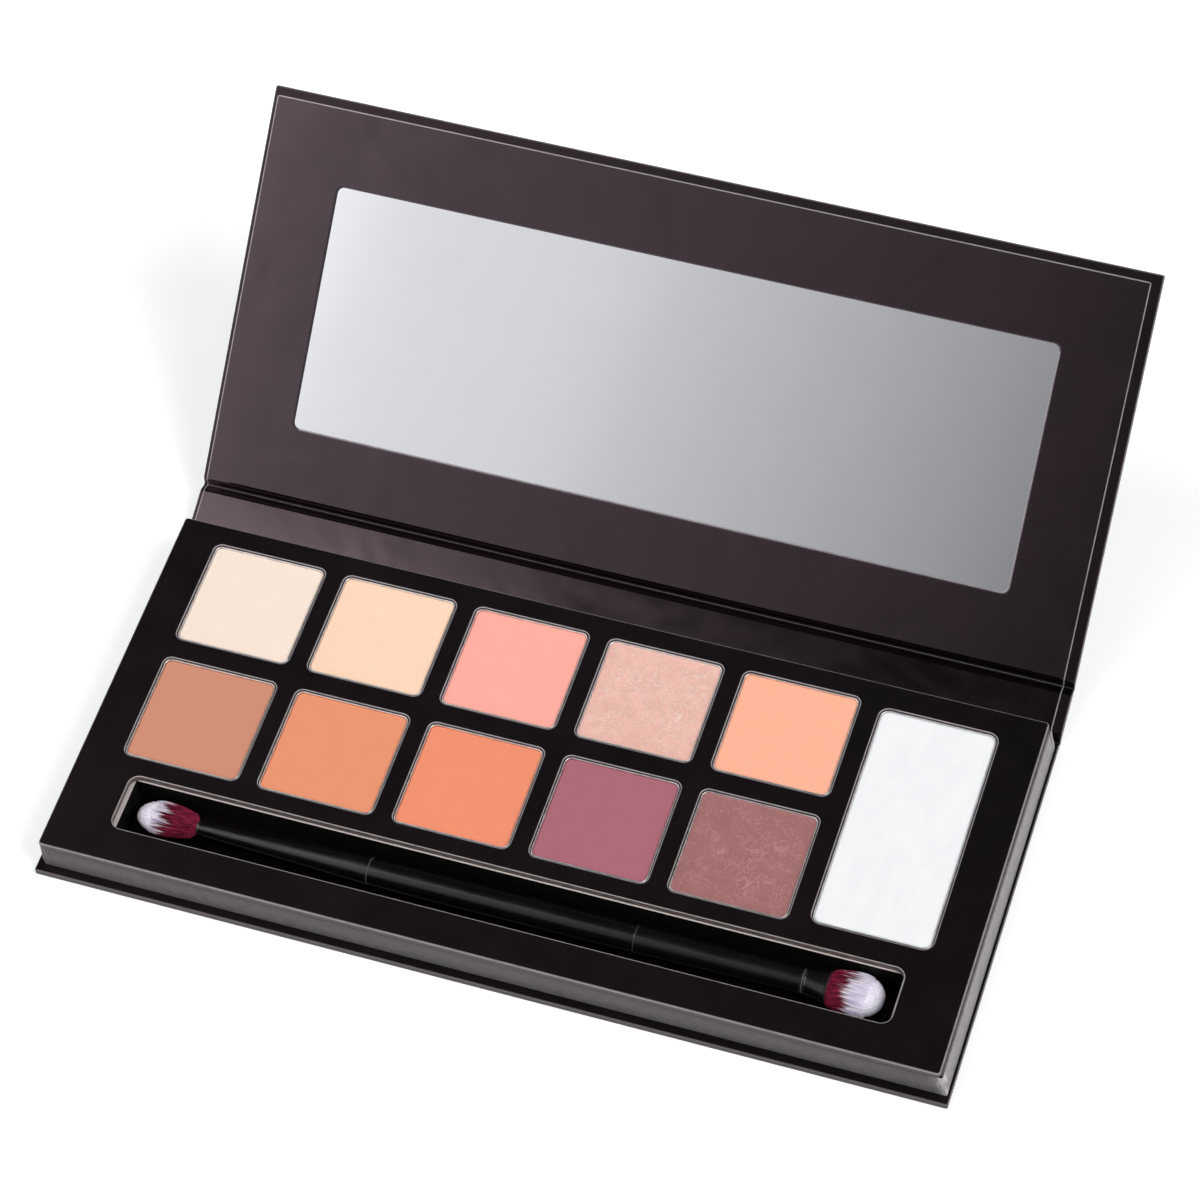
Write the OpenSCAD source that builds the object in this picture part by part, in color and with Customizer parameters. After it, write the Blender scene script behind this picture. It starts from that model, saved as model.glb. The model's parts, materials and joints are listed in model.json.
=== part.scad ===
// Book-style eyeshadow palette: a paper-covered board case with two paper folds,
// a raised tray of pans, a mirror in the lid and a double-ended brush.
// Origin: centre of the base board's underside. +X runs along the width,
// +Y to the fold side, +Z up. Every body is drawn with the case part open.

/* [Case] */
// Width of the cover boards with their paper
case_w = 203; // [202:0.5:210]
// Length of the lid from its fold to its free edge
lid_len = 91.8; // [91:0.1:92.8]
// Thickness of the grey board core
board_t = 1.5; // [1.2:0.1:1.6]
// Thickness of one sheet of cover or lining paper
paper_t = 0.12; // [0.1:0.01:0.15]
// How far the cover paper is turned in over the board
turn_in = 12; // [8:1:14]
// Base board that shows in front of the tray
front_overhang = 1.75; // [1:0.05:3]
// Room between the tray's rear wall and the fold line
rear_gap = 1.95; // [1.95:0.05:3]
// Room between the closed lid and the tray
lid_clearance = 0.2; // [0.15:0.05:0.5]
// Distance from a fold line to the nearest board edge
fold_margin = 2.0; // [1.95:0.05:2.5]

/* [Pose] */
// Angle of the spine above the table as drawn
spine_angle = 21; // [0:1:60]
// Angle of the lid above the table as drawn
lid_angle = 42; // [0:1:120]

/* [Lining] */
// Cut edge of the lid lining, in from the lid's free edge
lining_inset_front = 2.0; // [1:0.1:4]
// Cut edge of the lining, mean distance in from the sides
lining_inset_side = 1.6; // [1.2:0.1:3]
// How far the lining was laid to the left of centre
lining_shift = 0.8; // [0:0.1:1]

/* [Mirror] */
// Visible width of the mirror
mirror_w = 165.6; // [150:0.1:170]
// Visible height of the mirror
mirror_h = 55.2; // [45:0.1:60]
// From the lid's fold to the near edge of the visible mirror
mirror_start = 17.4; // [14:0.1:22]
// Corner radius of the mirror window
mirror_r = 1.5; // [0.5:0.1:3]
// Thickness of the mirror glass
mirror_t = 1.0; // [0.8:0.1:1.0]
// How far the lining laps over the glass
mirror_lap = 1.0; // [0.5:0.1:2]

/* [Tray] */
// Width of the tray's top card
tray_w = 200; // [199:0.5:201]
// Depth of the tray's top card
tray_d = 89.1; // [88:0.1:91]
// Height of the tray above the base lining
tray_h = 8.7; // [8.4:0.1:12]
// Thickness of the top card's board
card_t = 1.5; // [1:0.1:1.6]
// How far the card stands out past the wrapped walls
card_lip = 0.25; // [0.1:0.05:0.5]
// Thickness of the tray's side and rear walls
wall_t = 2.0; // [1.5:0.1:2.2]
// Depth and height of the groove under the card
groove = 0.45; // [0.2:0.05:0.6]

/* [Pans] */
// Outer side of a square pan
pan_size = 26.0; // [24:0.1:26.2]
// Spacing of the pans across the palette
pan_pitch_x = 30.8; // [30.2:0.1:31]
// Spacing of the two rows
pan_pitch_y = 31.4; // [30.2:0.1:31.5]
// From the card's left edge to the first window
pan_margin_left = 9.3; // [8:0.1:9.5]
// From the card's rear edge to the rear row of windows
pan_margin_rear = 5.0; // [4.5:0.1:5.5]
// Corner radius of a pan
pan_r = 1.7; // [1:0.1:3]
// Depth of a pan
pan_depth = 4.6; // [3.5:0.1:5]
// Thickness of the tin
pan_wall = 0.3; // [0.2:0.05:0.4]
// Gap between a pan and its window, on each side
window_gap = 0.15; // [0.1:0.05:0.2]
// How far a pan's rim lies under the card's face
rim_drop = 0.2; // [0:0.05:0.5]
// How far the powder lies under the rim
powder_drop = 0.3; // [0.1:0.05:0.6]

/* [Cream pan] */
// Outer width of the cream pan
cream_w = 26.0; // [24:0.1:26.4]
// Outer height of the cream pan
cream_h = 55.2; // [50:0.1:56]
// From the card's right edge to the cream pan's window
cream_margin_right = 10.2; // [9:0.1:10.4]
// Corner radius of the cream pan
cream_r = 2.2; // [1:0.1:4]

/* [Brush slot] */
// Length of the slot in the card
slot_w = 172.4; // [170:0.1:176]
// Depth of the slot in the card
slot_d = 13.6; // [13.2:0.1:13.8]
// From the card's front edge to the slot
slot_front = 8.3; // [7.8:0.1:8.6]
// Corner radius of the slot
slot_r = 2.4; // [1:0.1:4]
// Ledge of the channel wall inside the slot's edge
channel_ledge = 0.35; // [0:0.05:0.4]

/* [Brush] */
// Radius of the handle
handle_r = 3.1; // [2.8:0.1:3.4]
// Length of the handle between its ferrules
handle_len = 59.3; // [50:0.1:60]
// Length of the small head's ferrule
small_ferrule_len = 39.5; // [30:0.5:40]
// Radius of the small ferrule's mouth
small_mouth_r = 1.5; // [1.3:0.1:2]
// Length of the large head's ferrule
large_ferrule_len = 42; // [30:0.5:42]
// Length of the flattened mouth of the large ferrule
crimp_len = 5.3; // [4:0.1:8]
// Radius of the large ferrule where it is crimped
crimp_r = 2.6; // [2.4:0.1:3]
// Width of the large ferrule's mouth
large_mouth_w = 7.2; // [6:0.1:8]
// Length of the small bristle head
small_head_len = 14; // [12:0.5:15]
// Width of the small bristle head
small_head_w = 8.4; // [7:0.1:9]
// Thickness of the small bristle head
small_head_t = 5.2; // [4:0.1:6]
// Length of the large bristle head
large_head_len = 12.3; // [11:0.1:14]
// Width of the large bristle head
large_head_w = 10.4; // [9:0.1:10.4]
// Thickness of the large bristle head
large_head_t = 7; // [6.4:0.1:7]
// How far the brush lies behind the middle of its channel
brush_offset = 1.0; // [0:0.1:1]

/* [Magnets] */
// Diameter of the magnets and keeper discs
magnet_d = 6; // [4:0.5:6]
// Thickness of the magnets and keeper discs
magnet_t = 1.0; // [0.8:0.1:1.2]
// Distance of each magnet from the middle of the case
magnet_offset = 62; // [30:1:90]

/* [Hidden] */
$fn = 64;
pan_cols = 5;
pan_rows = 2;
pan_count = pan_cols * pan_rows;
running_gap = 0.05;

// Layers of a cover board, from its outer face inwards
core_low = paper_t;
core_high = paper_t + board_t;
edge_high = core_high + paper_t;
stack_t = edge_high + paper_t;

// The base, with the lower fold line at base_rear and z = 0.
// Its lining ends a little inside the tray's edge.
base_d = front_overhang + tray_d + rear_gap;
base_front = -base_d / 2;
base_rear = base_d / 2;
side = case_w / 2;
base_lining_inset = front_overhang + 0.6;

// The tray
tray_left = -tray_w / 2;
tray_front = base_front + front_overhang;
tray_floor = stack_t;
tray_top = tray_floor + tray_h;
card_low = tray_top - paper_t - card_t;
wall_out = card_lip + paper_t;
wall_in = wall_out + wall_t;

// Fold line to fold line, so that the closed lid lies flat over the tray
spine_pitch = tray_top + lid_clearance + stack_t;

// Side edges of the lining on the lid and the spine
lining_left = -side + lining_inset_side - lining_shift;
lining_right = side - lining_inset_side - lining_shift;

// A fold leaf is cover paper and lining glued together, clear of its twin
leaf_t = 2 * paper_t;
leaf_start = leaf_t + running_gap;

// The brush channel below the card's slot
slot_x = (tray_w - slot_w) / 2;
channel_x = slot_x + channel_ledge;
channel_front = slot_front + channel_ledge;
channel_rear = slot_front + slot_d - channel_ledge;
divider_rear = channel_rear + wall_t;

// Windows, pans and pockets, as corners measured from the card's front left
window_size = pan_size + 2 * window_gap;
cream_window_w = cream_w + 2 * window_gap;
cream_window_h = cream_h + 2 * window_gap;
cream_x = tray_w - cream_margin_right - cream_window_w;
rows_rear = tray_d - pan_margin_rear;
rows_span = (pan_rows - 1) * pan_pitch_y + window_size;
cream_y = rows_rear - (rows_span + cream_window_h) / 2;
rim_z = tray_top - rim_drop;
pan_floor_z = rim_z - pan_depth;
powder_z = rim_z - powder_drop;
cream_z = rim_z - 0.1;

// The brush lies along X in the channel, a little left of its middle,
// and rests on its large head
small_end = small_head_len;
handle_start = small_end + small_ferrule_len;
handle_end = handle_start + handle_len;
large_end = handle_end + large_ferrule_len;
brush_len = large_end + large_head_len;
brush_x = -brush_len / 2 - 0.4;
brush_y = tray_front + (channel_front + channel_rear) / 2 + brush_offset;
brush_z = tray_floor + large_head_t / 2 + running_gap;

// Ferrule tubes, with the handle's tangs and the bristles' glued plugs in them
ferrule_wall = 0.3;
tang_len = 8;
plug_len = 6;
handle_taper = 0.15;
ferrule_step = 0.1;
disc_t = 0.2;

// Share of a bristle head's length that is its round tip
tip_share = 0.44;

// The mirror's glass and its bed in the lid board
glass_w = mirror_w + 2 * mirror_lap;
glass_h = mirror_h + 2 * mirror_lap;
adhesive_t = 0.1;
glass_low = core_high - mirror_t;

// Middle of the keeper discs behind the card's front edge,
// and of the magnets that meet them from the lid's fold line
magnet_y = 4.2;
lid_magnet_y = base_rear - tray_front - magnet_y;

PANS = [for (i = [1:pan_count]) str("pan_", i)];
SHADOWS = [for (i = [1:pan_count]) str("shadow_", i)];

// Colours
board_grey = [0.55, 0.50, 0.45];
paper_black = [0.10, 0.085, 0.09];
lining_black = [0.13, 0.11, 0.12];
tin = [0.80, 0.80, 0.82];
steel = [0.65, 0.66, 0.68];
powder_colours = [
    [0.97, 0.89, 0.82], [0.99, 0.84, 0.72], [0.98, 0.67, 0.62], [0.91, 0.73, 0.68], [0.99, 0.71, 0.59],
    [0.81, 0.55, 0.45], [0.92, 0.58, 0.44], [0.94, 0.56, 0.43], [0.66, 0.40, 0.45], [0.63, 0.44, 0.43]
];

// ---- Shapes that repeat ----

// A box between two corners
module slab(low, high) {
    translate(low) cube(high - low);
}

// A rectangle with round corners, its front left corner at the origin
module round_rect(w, d, r) {
    translate([r, 0]) square([w - 2 * r, d]);
    translate([0, r]) square([w, d - 2 * r]);
    for (x = [r, w - r], y = [r, d - r]) translate([x, y]) circle(r);
}

// A plate with round corners between two heights
module round_plate(w, d, r, low, high) {
    translate([0, 0, low]) linear_extrude(high - low) round_rect(w, d, r);
}

// Frames of the three hinged bodies as drawn
module on_tray() {
    translate([tray_left, tray_front, 0]) children();
}

module on_spine() {
    translate([0, base_rear, 0]) rotate([spine_angle, 0, 0]) children();
}

module on_lid() {
    on_spine() translate([0, spine_pitch, 0]) rotate([lid_angle - spine_angle, 0, 0]) children();
}

// Corner of pan i's window, counted from the rear left, row by row
function window_x(i) = pan_margin_left + (i % pan_cols) * pan_pitch_x;
function window_y(i) = rows_rear - window_size - floor(i / pan_cols) * pan_pitch_y;

module at_pan(i) {
    on_tray() translate([window_x(i) + window_gap, window_y(i) + window_gap, 0]) children();
}

module at_cream() {
    on_tray() translate([cream_x + window_gap, cream_y + window_gap, 0]) children();
}

// Cover paper round a board, turned in on both sides and at its free edge, y = 0
module wrapped_skin(depth) {
    difference() {
        slab([-side, 0, 0], [side, depth, edge_high]);
        slab([-side + paper_t, paper_t, core_low], [side - paper_t, depth + 1, core_high]);
        slab([-side + turn_in, turn_in, core_high], [side - turn_in, depth + 1, edge_high + 1]);
    }
}

// Windows for the square pans and the cream pan
module pan_windows(low, high) {
    for (i = [0:pan_count - 1]) {
        translate([window_x(i), window_y(i), 0])
            round_plate(window_size, window_size, pan_r + window_gap, low, high);
    }
    translate([cream_x, cream_y, 0])
        round_plate(cream_window_w, cream_window_h, cream_r + window_gap, low, high);
}

module slot_window(low, high) {
    translate([slot_x, slot_front, 0]) round_plate(slot_w, slot_d, slot_r, low, high);
}

// A pan pressed from thin tin
module tin_pan(w, d, r) {
    difference() {
        round_plate(w, d, r, pan_floor_z, rim_z);
        translate([pan_wall, pan_wall, 0])
            round_plate(w - 2 * pan_wall, d - 2 * pan_wall, r - pan_wall,
                        pan_floor_z + pan_wall, rim_z + 1);
    }
}

// What fills a pan
module pan_filling(w, d, r, top) {
    translate([pan_wall, pan_wall, 0])
        round_plate(w - 2 * pan_wall, d - 2 * pan_wall, r - pan_wall, pan_floor_z + pan_wall, top);
}

// A disc near the free edge on both sides of the middle
module disc_pair(y, low, high) {
    for (s = [-1, 1]) translate([s * magnet_offset, y, low]) cylinder(d = magnet_d, h = high - low);
}

// ---- Base ----

module base_board() {
    color(board_grey)
        slab([-side + paper_t, base_front + paper_t, core_low],
             [side - paper_t, base_rear - fold_margin, core_high]);
}

module base_wrap() {
    color(paper_black) translate([0, base_front, 0]) wrapped_skin(base_d - fold_margin);
}

// The lining lies on the board and laps onto the turned-in paper
module base_lining() {
    rear = base_rear - fold_margin;
    lap = base_lining_inset;
    color(lining_black) {
        slab([-side + lap, base_front + lap, edge_high], [side - lap, rear, stack_t]);
        slab([-side + turn_in, base_front + turn_in, core_high], [side - turn_in, rear, stack_t]);
    }
}

// ---- Tray ----

// A strip of wall board between two corners, stepped back under the card
// by the groove where it meets the outside of the tray
module wall_strip(low, high) {
    outer_low = wall_out + groove;
    on_tray() {
        slab([low[0], low[1], tray_floor], [high[0], high[1], card_low - groove]);
        slab([max(low[0], outer_low), max(low[1], outer_low), card_low - groove],
             [min(high[0], tray_w - outer_low), min(high[1], tray_d - outer_low), card_low]);
    }
}

module tray_wall_front() {
    color(board_grey) wall_strip([wall_out, wall_out], [tray_w - wall_out, channel_front]);
}

module tray_wall_rear() {
    color(board_grey)
        wall_strip([wall_out, tray_d - wall_in], [tray_w - wall_out, tray_d - wall_out]);
}

module tray_wall_left() {
    color(board_grey) wall_strip([wall_out, channel_front], [wall_in, tray_d - wall_in]);
}

module tray_wall_right() {
    color(board_grey)
        wall_strip([tray_w - wall_in, channel_front], [tray_w - wall_out, tray_d - wall_in]);
}

module channel_divider() {
    color(paper_black) wall_strip([wall_in, channel_rear], [tray_w - wall_in, divider_rear]);
}

module channel_end_left() {
    color(paper_black) wall_strip([wall_in, channel_front], [channel_x, channel_rear]);
}

module channel_end_right() {
    color(paper_black)
        wall_strip([tray_w - channel_x, channel_front], [tray_w - wall_in, channel_rear]);
}

module tray_wrap() {
    color(paper_black) on_tray() difference() {
        slab([card_lip, card_lip, tray_floor], [tray_w - card_lip, tray_d - card_lip, card_low - groove]);
        slab([wall_out, wall_out, tray_floor - 1], [tray_w - wall_out, tray_d - wall_out, card_low]);
    }
}

module pan_bed() {
    color([0.08, 0.08, 0.08]) on_tray() difference() {
        slab([wall_in, divider_rear, tray_floor], [tray_w - wall_in, tray_d - wall_in, card_low]);
        pan_windows(pan_floor_z, card_low + 1);
    }
}

module top_card() {
    color(board_grey) on_tray() difference() {
        slab([paper_t, paper_t, card_low], [tray_w - paper_t, tray_d - paper_t, tray_top - paper_t]);
        pan_windows(card_low - 1, tray_top);
        slot_window(card_low - 1, tray_top);
        translate([tray_w / 2, 0, 0]) disc_pair(magnet_y, card_low - 1, card_low + magnet_t);
    }
}

module card_face() {
    color(paper_black) on_tray() difference() {
        slab([0, 0, card_low], [tray_w, tray_d, tray_top]);
        slab([paper_t, paper_t, card_low - 1], [tray_w - paper_t, tray_d - paper_t, tray_top - paper_t]);
        pan_windows(card_low - 1, tray_top + 1);
        slot_window(card_low - 1, tray_top + 1);
    }
}

module keeper_discs() {
    color(steel) on_tray() translate([tray_w / 2, 0, 0])
        disc_pair(magnet_y, card_low, card_low + magnet_t);
}

module pan(i) {
    color(tin) at_pan(i) tin_pan(pan_size, pan_size, pan_r);
}

module shadow(i) {
    color(powder_colours[i]) at_pan(i) pan_filling(pan_size, pan_size, pan_r, powder_z);
}

module cream_pan() {
    color(tin) at_cream() tin_pan(cream_w, cream_h, cream_r);
}

module cream() {
    color([0.96, 0.96, 0.97]) at_cream() pan_filling(cream_w, cream_h, cream_r, cream_z);
}

// ---- Paper folds ----

// A strip of the two papers glued together, beside a fold line
module leaf(start, end) {
    slab([-side, start, 0], [side, end, leaf_t]);
}

module lower_fold_base_leaf() {
    color(paper_black) leaf(base_rear - fold_margin, base_rear - leaf_start);
}

module lower_fold_spine_leaf() {
    color(paper_black) on_spine() leaf(leaf_start, fold_margin);
}

module upper_fold_spine_leaf() {
    color(paper_black) on_spine() leaf(spine_pitch - fold_margin, spine_pitch - leaf_start);
}

module upper_fold_lid_leaf() {
    color(paper_black) on_lid() leaf(leaf_start, fold_margin);
}

// ---- Spine ----

module spine_board() {
    color(board_grey) on_spine()
        slab([-side + paper_t, fold_margin, core_low],
             [side - paper_t, spine_pitch - fold_margin, core_high]);
}

module spine_wrap() {
    color(paper_black) on_spine() difference() {
        slab([-side, fold_margin, 0], [side, spine_pitch - fold_margin, core_high]);
        slab([-side + paper_t, 0, core_low], [side - paper_t, spine_pitch, core_high + 1]);
    }
}

module spine_lining() {
    color(lining_black) on_spine()
        slab([lining_left, fold_margin, core_high],
             [lining_right, spine_pitch - fold_margin, edge_high]);
}

// ---- Lid ----

module lid_board() {
    color(board_grey) on_lid() difference() {
        slab([-side + paper_t, fold_margin, core_low], [side - paper_t, lid_len - paper_t, core_high]);
        translate([-glass_w / 2, mirror_start - mirror_lap, 0])
            round_plate(glass_w, glass_h, mirror_r, glass_low - adhesive_t, core_high + 1);
        disc_pair(lid_magnet_y, core_high - magnet_t, core_high + 1);
    }
}

module lid_wrap() {
    color(paper_black) on_lid()
        translate([0, lid_len, 0]) mirror([0, 1, 0]) wrapped_skin(lid_len - fold_margin);
}

module lid_lining() {
    color(lining_black) on_lid() difference() {
        union() {
            slab([lining_left, fold_margin, edge_high],
                 [lining_right, lid_len - lining_inset_front, stack_t]);
            slab([-side + turn_in, fold_margin, core_high],
                 [side - turn_in, lid_len - turn_in, stack_t]);
        }
        translate([-mirror_w / 2, mirror_start, 0])
            round_plate(mirror_w, mirror_h, mirror_r, core_high - 1, stack_t + 1);
    }
}

module mirror_adhesive() {
    color([0.85, 0.85, 0.8]) on_lid() translate([-glass_w / 2, mirror_start - mirror_lap, 0])
        round_plate(glass_w, glass_h, mirror_r, glass_low - adhesive_t, glass_low);
}

module mirror_glass() {
    color([0.75, 0.78, 0.82]) on_lid() translate([-glass_w / 2, mirror_start - mirror_lap, 0])
        round_plate(glass_w, glass_h, mirror_r, glass_low, core_high);
}

module lid_magnets() {
    color(steel) on_lid() disc_pair(lid_magnet_y, core_high - magnet_t, core_high);
}

// ---- Brush ----

module on_brush(start) {
    translate([brush_x + start, brush_y, brush_z]) rotate([0, 90, 0]) children();
}

// Turns a profile drawn as [radius, distance] about the brush's axis
module turned(profile, start) {
    on_brush(start) rotate_extrude() polygon(profile);
}

// An oval disc, its width along Y
module oval(w, t) {
    scale([t / 2, w / 2, 1]) cylinder(r = 1, h = disc_t, $fn = 32);
}

// An egg of bristles on an oval root, with its glued plug behind it
module bristles(head_len, head_w, head_t, root_w, root_t, plug_r) {
    tip_len = tip_share * head_len;
    translate([0, 0, -plug_len]) cylinder(r = plug_r, h = plug_len);
    hull() {
        oval(root_w, root_t);
        translate([0, 0, head_len - tip_len]) scale([head_t / 2, head_w / 2, tip_len]) sphere(1, $fn = 32);
    }
}

module brush_handle() {
    small_tang_r = small_mouth_r - ferrule_wall;
    large_tang_r = crimp_r - ferrule_wall;
    end_r = handle_r - handle_taper;
    color([0.04, 0.04, 0.045]) turned([
        [0, -tang_len], [small_tang_r, -tang_len], [small_tang_r, 0], [end_r, 0],
        [handle_r, 0.15 * handle_len], [handle_r, 0.85 * handle_len], [end_r, handle_len],
        [large_tang_r, handle_len], [large_tang_r, handle_len + tang_len], [0, handle_len + tang_len]
    ], handle_start);
}

module small_ferrule() {
    bore_r = small_mouth_r - ferrule_wall;
    wide_r = handle_r - ferrule_step;
    color([0.05, 0.05, 0.055]) turned([
        [bore_r, 0], [small_mouth_r, 0], [wide_r, small_ferrule_len], [bore_r, small_ferrule_len]
    ], small_end);
}

module large_ferrule() {
    bore_r = crimp_r - ferrule_wall;
    cone_len = large_ferrule_len - crimp_len;
    wide_r = handle_r - ferrule_step;
    color([0.05, 0.05, 0.055]) {
        turned([[bore_r, 0], [wide_r, 0], [crimp_r, cone_len], [bore_r, cone_len]], handle_end);
        on_brush(handle_end + cone_len) difference() {
            hull() {
                oval(2 * crimp_r, 2 * crimp_r);
                translate([0, 0, crimp_len - disc_t]) oval(large_mouth_w, 2 * crimp_r + disc_t);
            }
            translate([0, 0, -1]) cylinder(r = bore_r, h = crimp_len + 2);
        }
    }
}

module small_bristles() {
    mouth_w = 2 * small_mouth_r;
    plug_r = small_mouth_r - ferrule_wall;
    color([0.9, 0.86, 0.9]) on_brush(small_end) mirror([0, 0, 1])
        bristles(small_head_len, small_head_w, small_head_t, mouth_w, mouth_w, plug_r);
}

module large_bristles() {
    plug_r = crimp_r - ferrule_wall;
    color([0.9, 0.86, 0.9]) on_brush(large_end)
        bristles(large_head_len, large_head_w, large_head_t, large_mouth_w, 2 * crimp_r, plug_r);
}

// ---- What is drawn ----

base_board();
base_wrap();
base_lining();
tray_wall_front();
tray_wall_rear();
tray_wall_left();
tray_wall_right();
channel_divider();
channel_end_left();
channel_end_right();
tray_wrap();
pan_bed();
top_card();
card_face();
keeper_discs();
for (i = [0:pan_count - 1]) {
    pan(i);
    shadow(i);
}
cream_pan();
cream();
lower_fold_base_leaf();
lower_fold_spine_leaf();
spine_board();
spine_wrap();
spine_lining();
upper_fold_spine_leaf();
upper_fold_lid_leaf();
lid_board();
lid_wrap();
lid_lining();
mirror_adhesive();
mirror_glass();
lid_magnets();
brush_handle();
small_ferrule();
large_ferrule();
small_bristles();
large_bristles();
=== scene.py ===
import json
import random
from math import cos, exp, hypot, pi, radians, sin, sqrt

import bmesh
import bpy
from mathutils import Matrix, Vector, noise
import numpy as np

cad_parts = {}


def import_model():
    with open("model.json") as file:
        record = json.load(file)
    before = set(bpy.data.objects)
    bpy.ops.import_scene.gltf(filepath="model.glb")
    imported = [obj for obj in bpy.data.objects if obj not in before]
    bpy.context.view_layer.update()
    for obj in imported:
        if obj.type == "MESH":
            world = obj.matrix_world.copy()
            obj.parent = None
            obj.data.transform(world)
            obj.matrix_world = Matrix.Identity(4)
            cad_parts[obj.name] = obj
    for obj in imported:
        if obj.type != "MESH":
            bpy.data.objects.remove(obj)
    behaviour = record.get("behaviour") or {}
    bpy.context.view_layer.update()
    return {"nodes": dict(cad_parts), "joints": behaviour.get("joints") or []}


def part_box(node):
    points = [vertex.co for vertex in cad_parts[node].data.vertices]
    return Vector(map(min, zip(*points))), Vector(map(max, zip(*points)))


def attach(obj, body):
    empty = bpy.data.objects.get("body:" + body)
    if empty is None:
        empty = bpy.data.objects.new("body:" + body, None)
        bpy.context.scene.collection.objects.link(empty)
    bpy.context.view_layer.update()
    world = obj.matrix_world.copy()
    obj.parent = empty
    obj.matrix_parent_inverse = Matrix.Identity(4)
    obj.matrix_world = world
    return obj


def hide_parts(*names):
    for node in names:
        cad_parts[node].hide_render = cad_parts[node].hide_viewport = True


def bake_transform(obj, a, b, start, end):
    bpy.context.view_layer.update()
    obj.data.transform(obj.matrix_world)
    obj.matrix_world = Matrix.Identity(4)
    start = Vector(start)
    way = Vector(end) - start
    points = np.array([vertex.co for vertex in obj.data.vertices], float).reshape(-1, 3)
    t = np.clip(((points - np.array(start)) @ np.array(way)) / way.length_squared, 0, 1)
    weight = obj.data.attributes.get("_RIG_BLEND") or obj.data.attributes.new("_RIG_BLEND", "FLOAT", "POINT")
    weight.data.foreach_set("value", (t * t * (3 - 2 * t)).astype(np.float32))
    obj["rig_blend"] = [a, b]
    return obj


# The looks of an open eyeshadow palette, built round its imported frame. Metres throughout.

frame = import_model()

MM = 0.001
PAPER = 0.12 * MM
TINY = 1e-7
CORNER_STEPS = 8

# ---- Places: the flat frame of each board, y away from its fold and z inwards ----

joints = {j["name"]: j for j in frame["joints"]}


def raised(joint):
    """Angle by which a fold is raised at rest; each fold closes at a right angle."""
    return radians(90 - joints[joint]["range_deg"][1])


def fold_frame(joint, tilt):
    return Matrix.Translation(joints[joint]["pos_m"]) @ Matrix.Rotation(tilt, 4, "X")


SPINE_TILT = raised("spine_fold")
LID_TILT = SPINE_TILT + raised("lid_fold")
ON_BASE = Matrix.Identity(4)
ON_SPINE = fold_frame("spine_fold", SPINE_TILT)
ON_LID = fold_frame("lid_fold", LID_TILT)


def flat_box(node, place=ON_BASE):
    """Lowest and highest corner of a CAD node in a board's flat frame."""
    inward = place.inverted()
    points = [inward @ v.co for v in frame["nodes"][node].data.vertices]
    low = Vector([min(p[i] for p in points) for i in range(3)])
    high = Vector([max(p[i] for p in points) for i in range(3)])
    return low, high


def rect_of(box):
    return (box[0].x, box[0].y, box[1].x, box[1].y)


def grown(rect, by):
    return (rect[0] - by, rect[1] - by, rect[2] + by, rect[3] + by)


BASE = flat_box("base_wrap")
SPINE = flat_box("spine_wrap", ON_SPINE)
LID = flat_box("lid_wrap", ON_LID)
SPINE_LINING = flat_box("spine_lining", ON_SPINE)
LID_LINING = flat_box("lid_lining", ON_LID)
MIRROR = flat_box("mirror_glass", ON_LID)
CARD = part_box("card_face")
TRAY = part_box("tray_wrap")


# ---- Surfaces ----

# Sockets of a Mix node that mixes colours
COLOUR_A, COLOUR_B, COLOUR_OUT = 6, 7, 2
FILM_TINT = (1.0, 0.74, 0.83, 1)


class Nodes:
    """A node tree, with short ways to add nodes and fill their sockets."""

    def __init__(self, tree):
        self.tree = tree

    def put(self, socket, value):
        if isinstance(value, bpy.types.NodeSocket):
            self.tree.links.new(value, socket)
        else:
            socket.default_value = value

    def add(self, kind, *values, **settings):
        """A node with its settings, and with values for its first sockets."""
        node = self.tree.nodes.new("ShaderNode" + kind)
        for key, value in settings.items():
            setattr(node, key, value)
        for socket, value in zip(node.inputs, values):
            self.put(socket, value)
        return node

    def fill_in(self, node, **values):
        """Puts each value in the node's socket of that name, with _ for a space."""
        for name, value in values.items():
            self.put(node.inputs[name.replace("_", " ")], value)
        return node

    def maths(self, operation, a, b):
        return self.add("Math", a, b, operation=operation).outputs[0]

    def spread(self, value, low, high, to_low=0.0, to_high=1.0):
        """Value brought smoothly from one range to another."""
        values = (value, low, high, to_low, to_high)
        return self.add("MapRange", *values, interpolation_type="SMOOTHSTEP").outputs["Result"]


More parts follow.
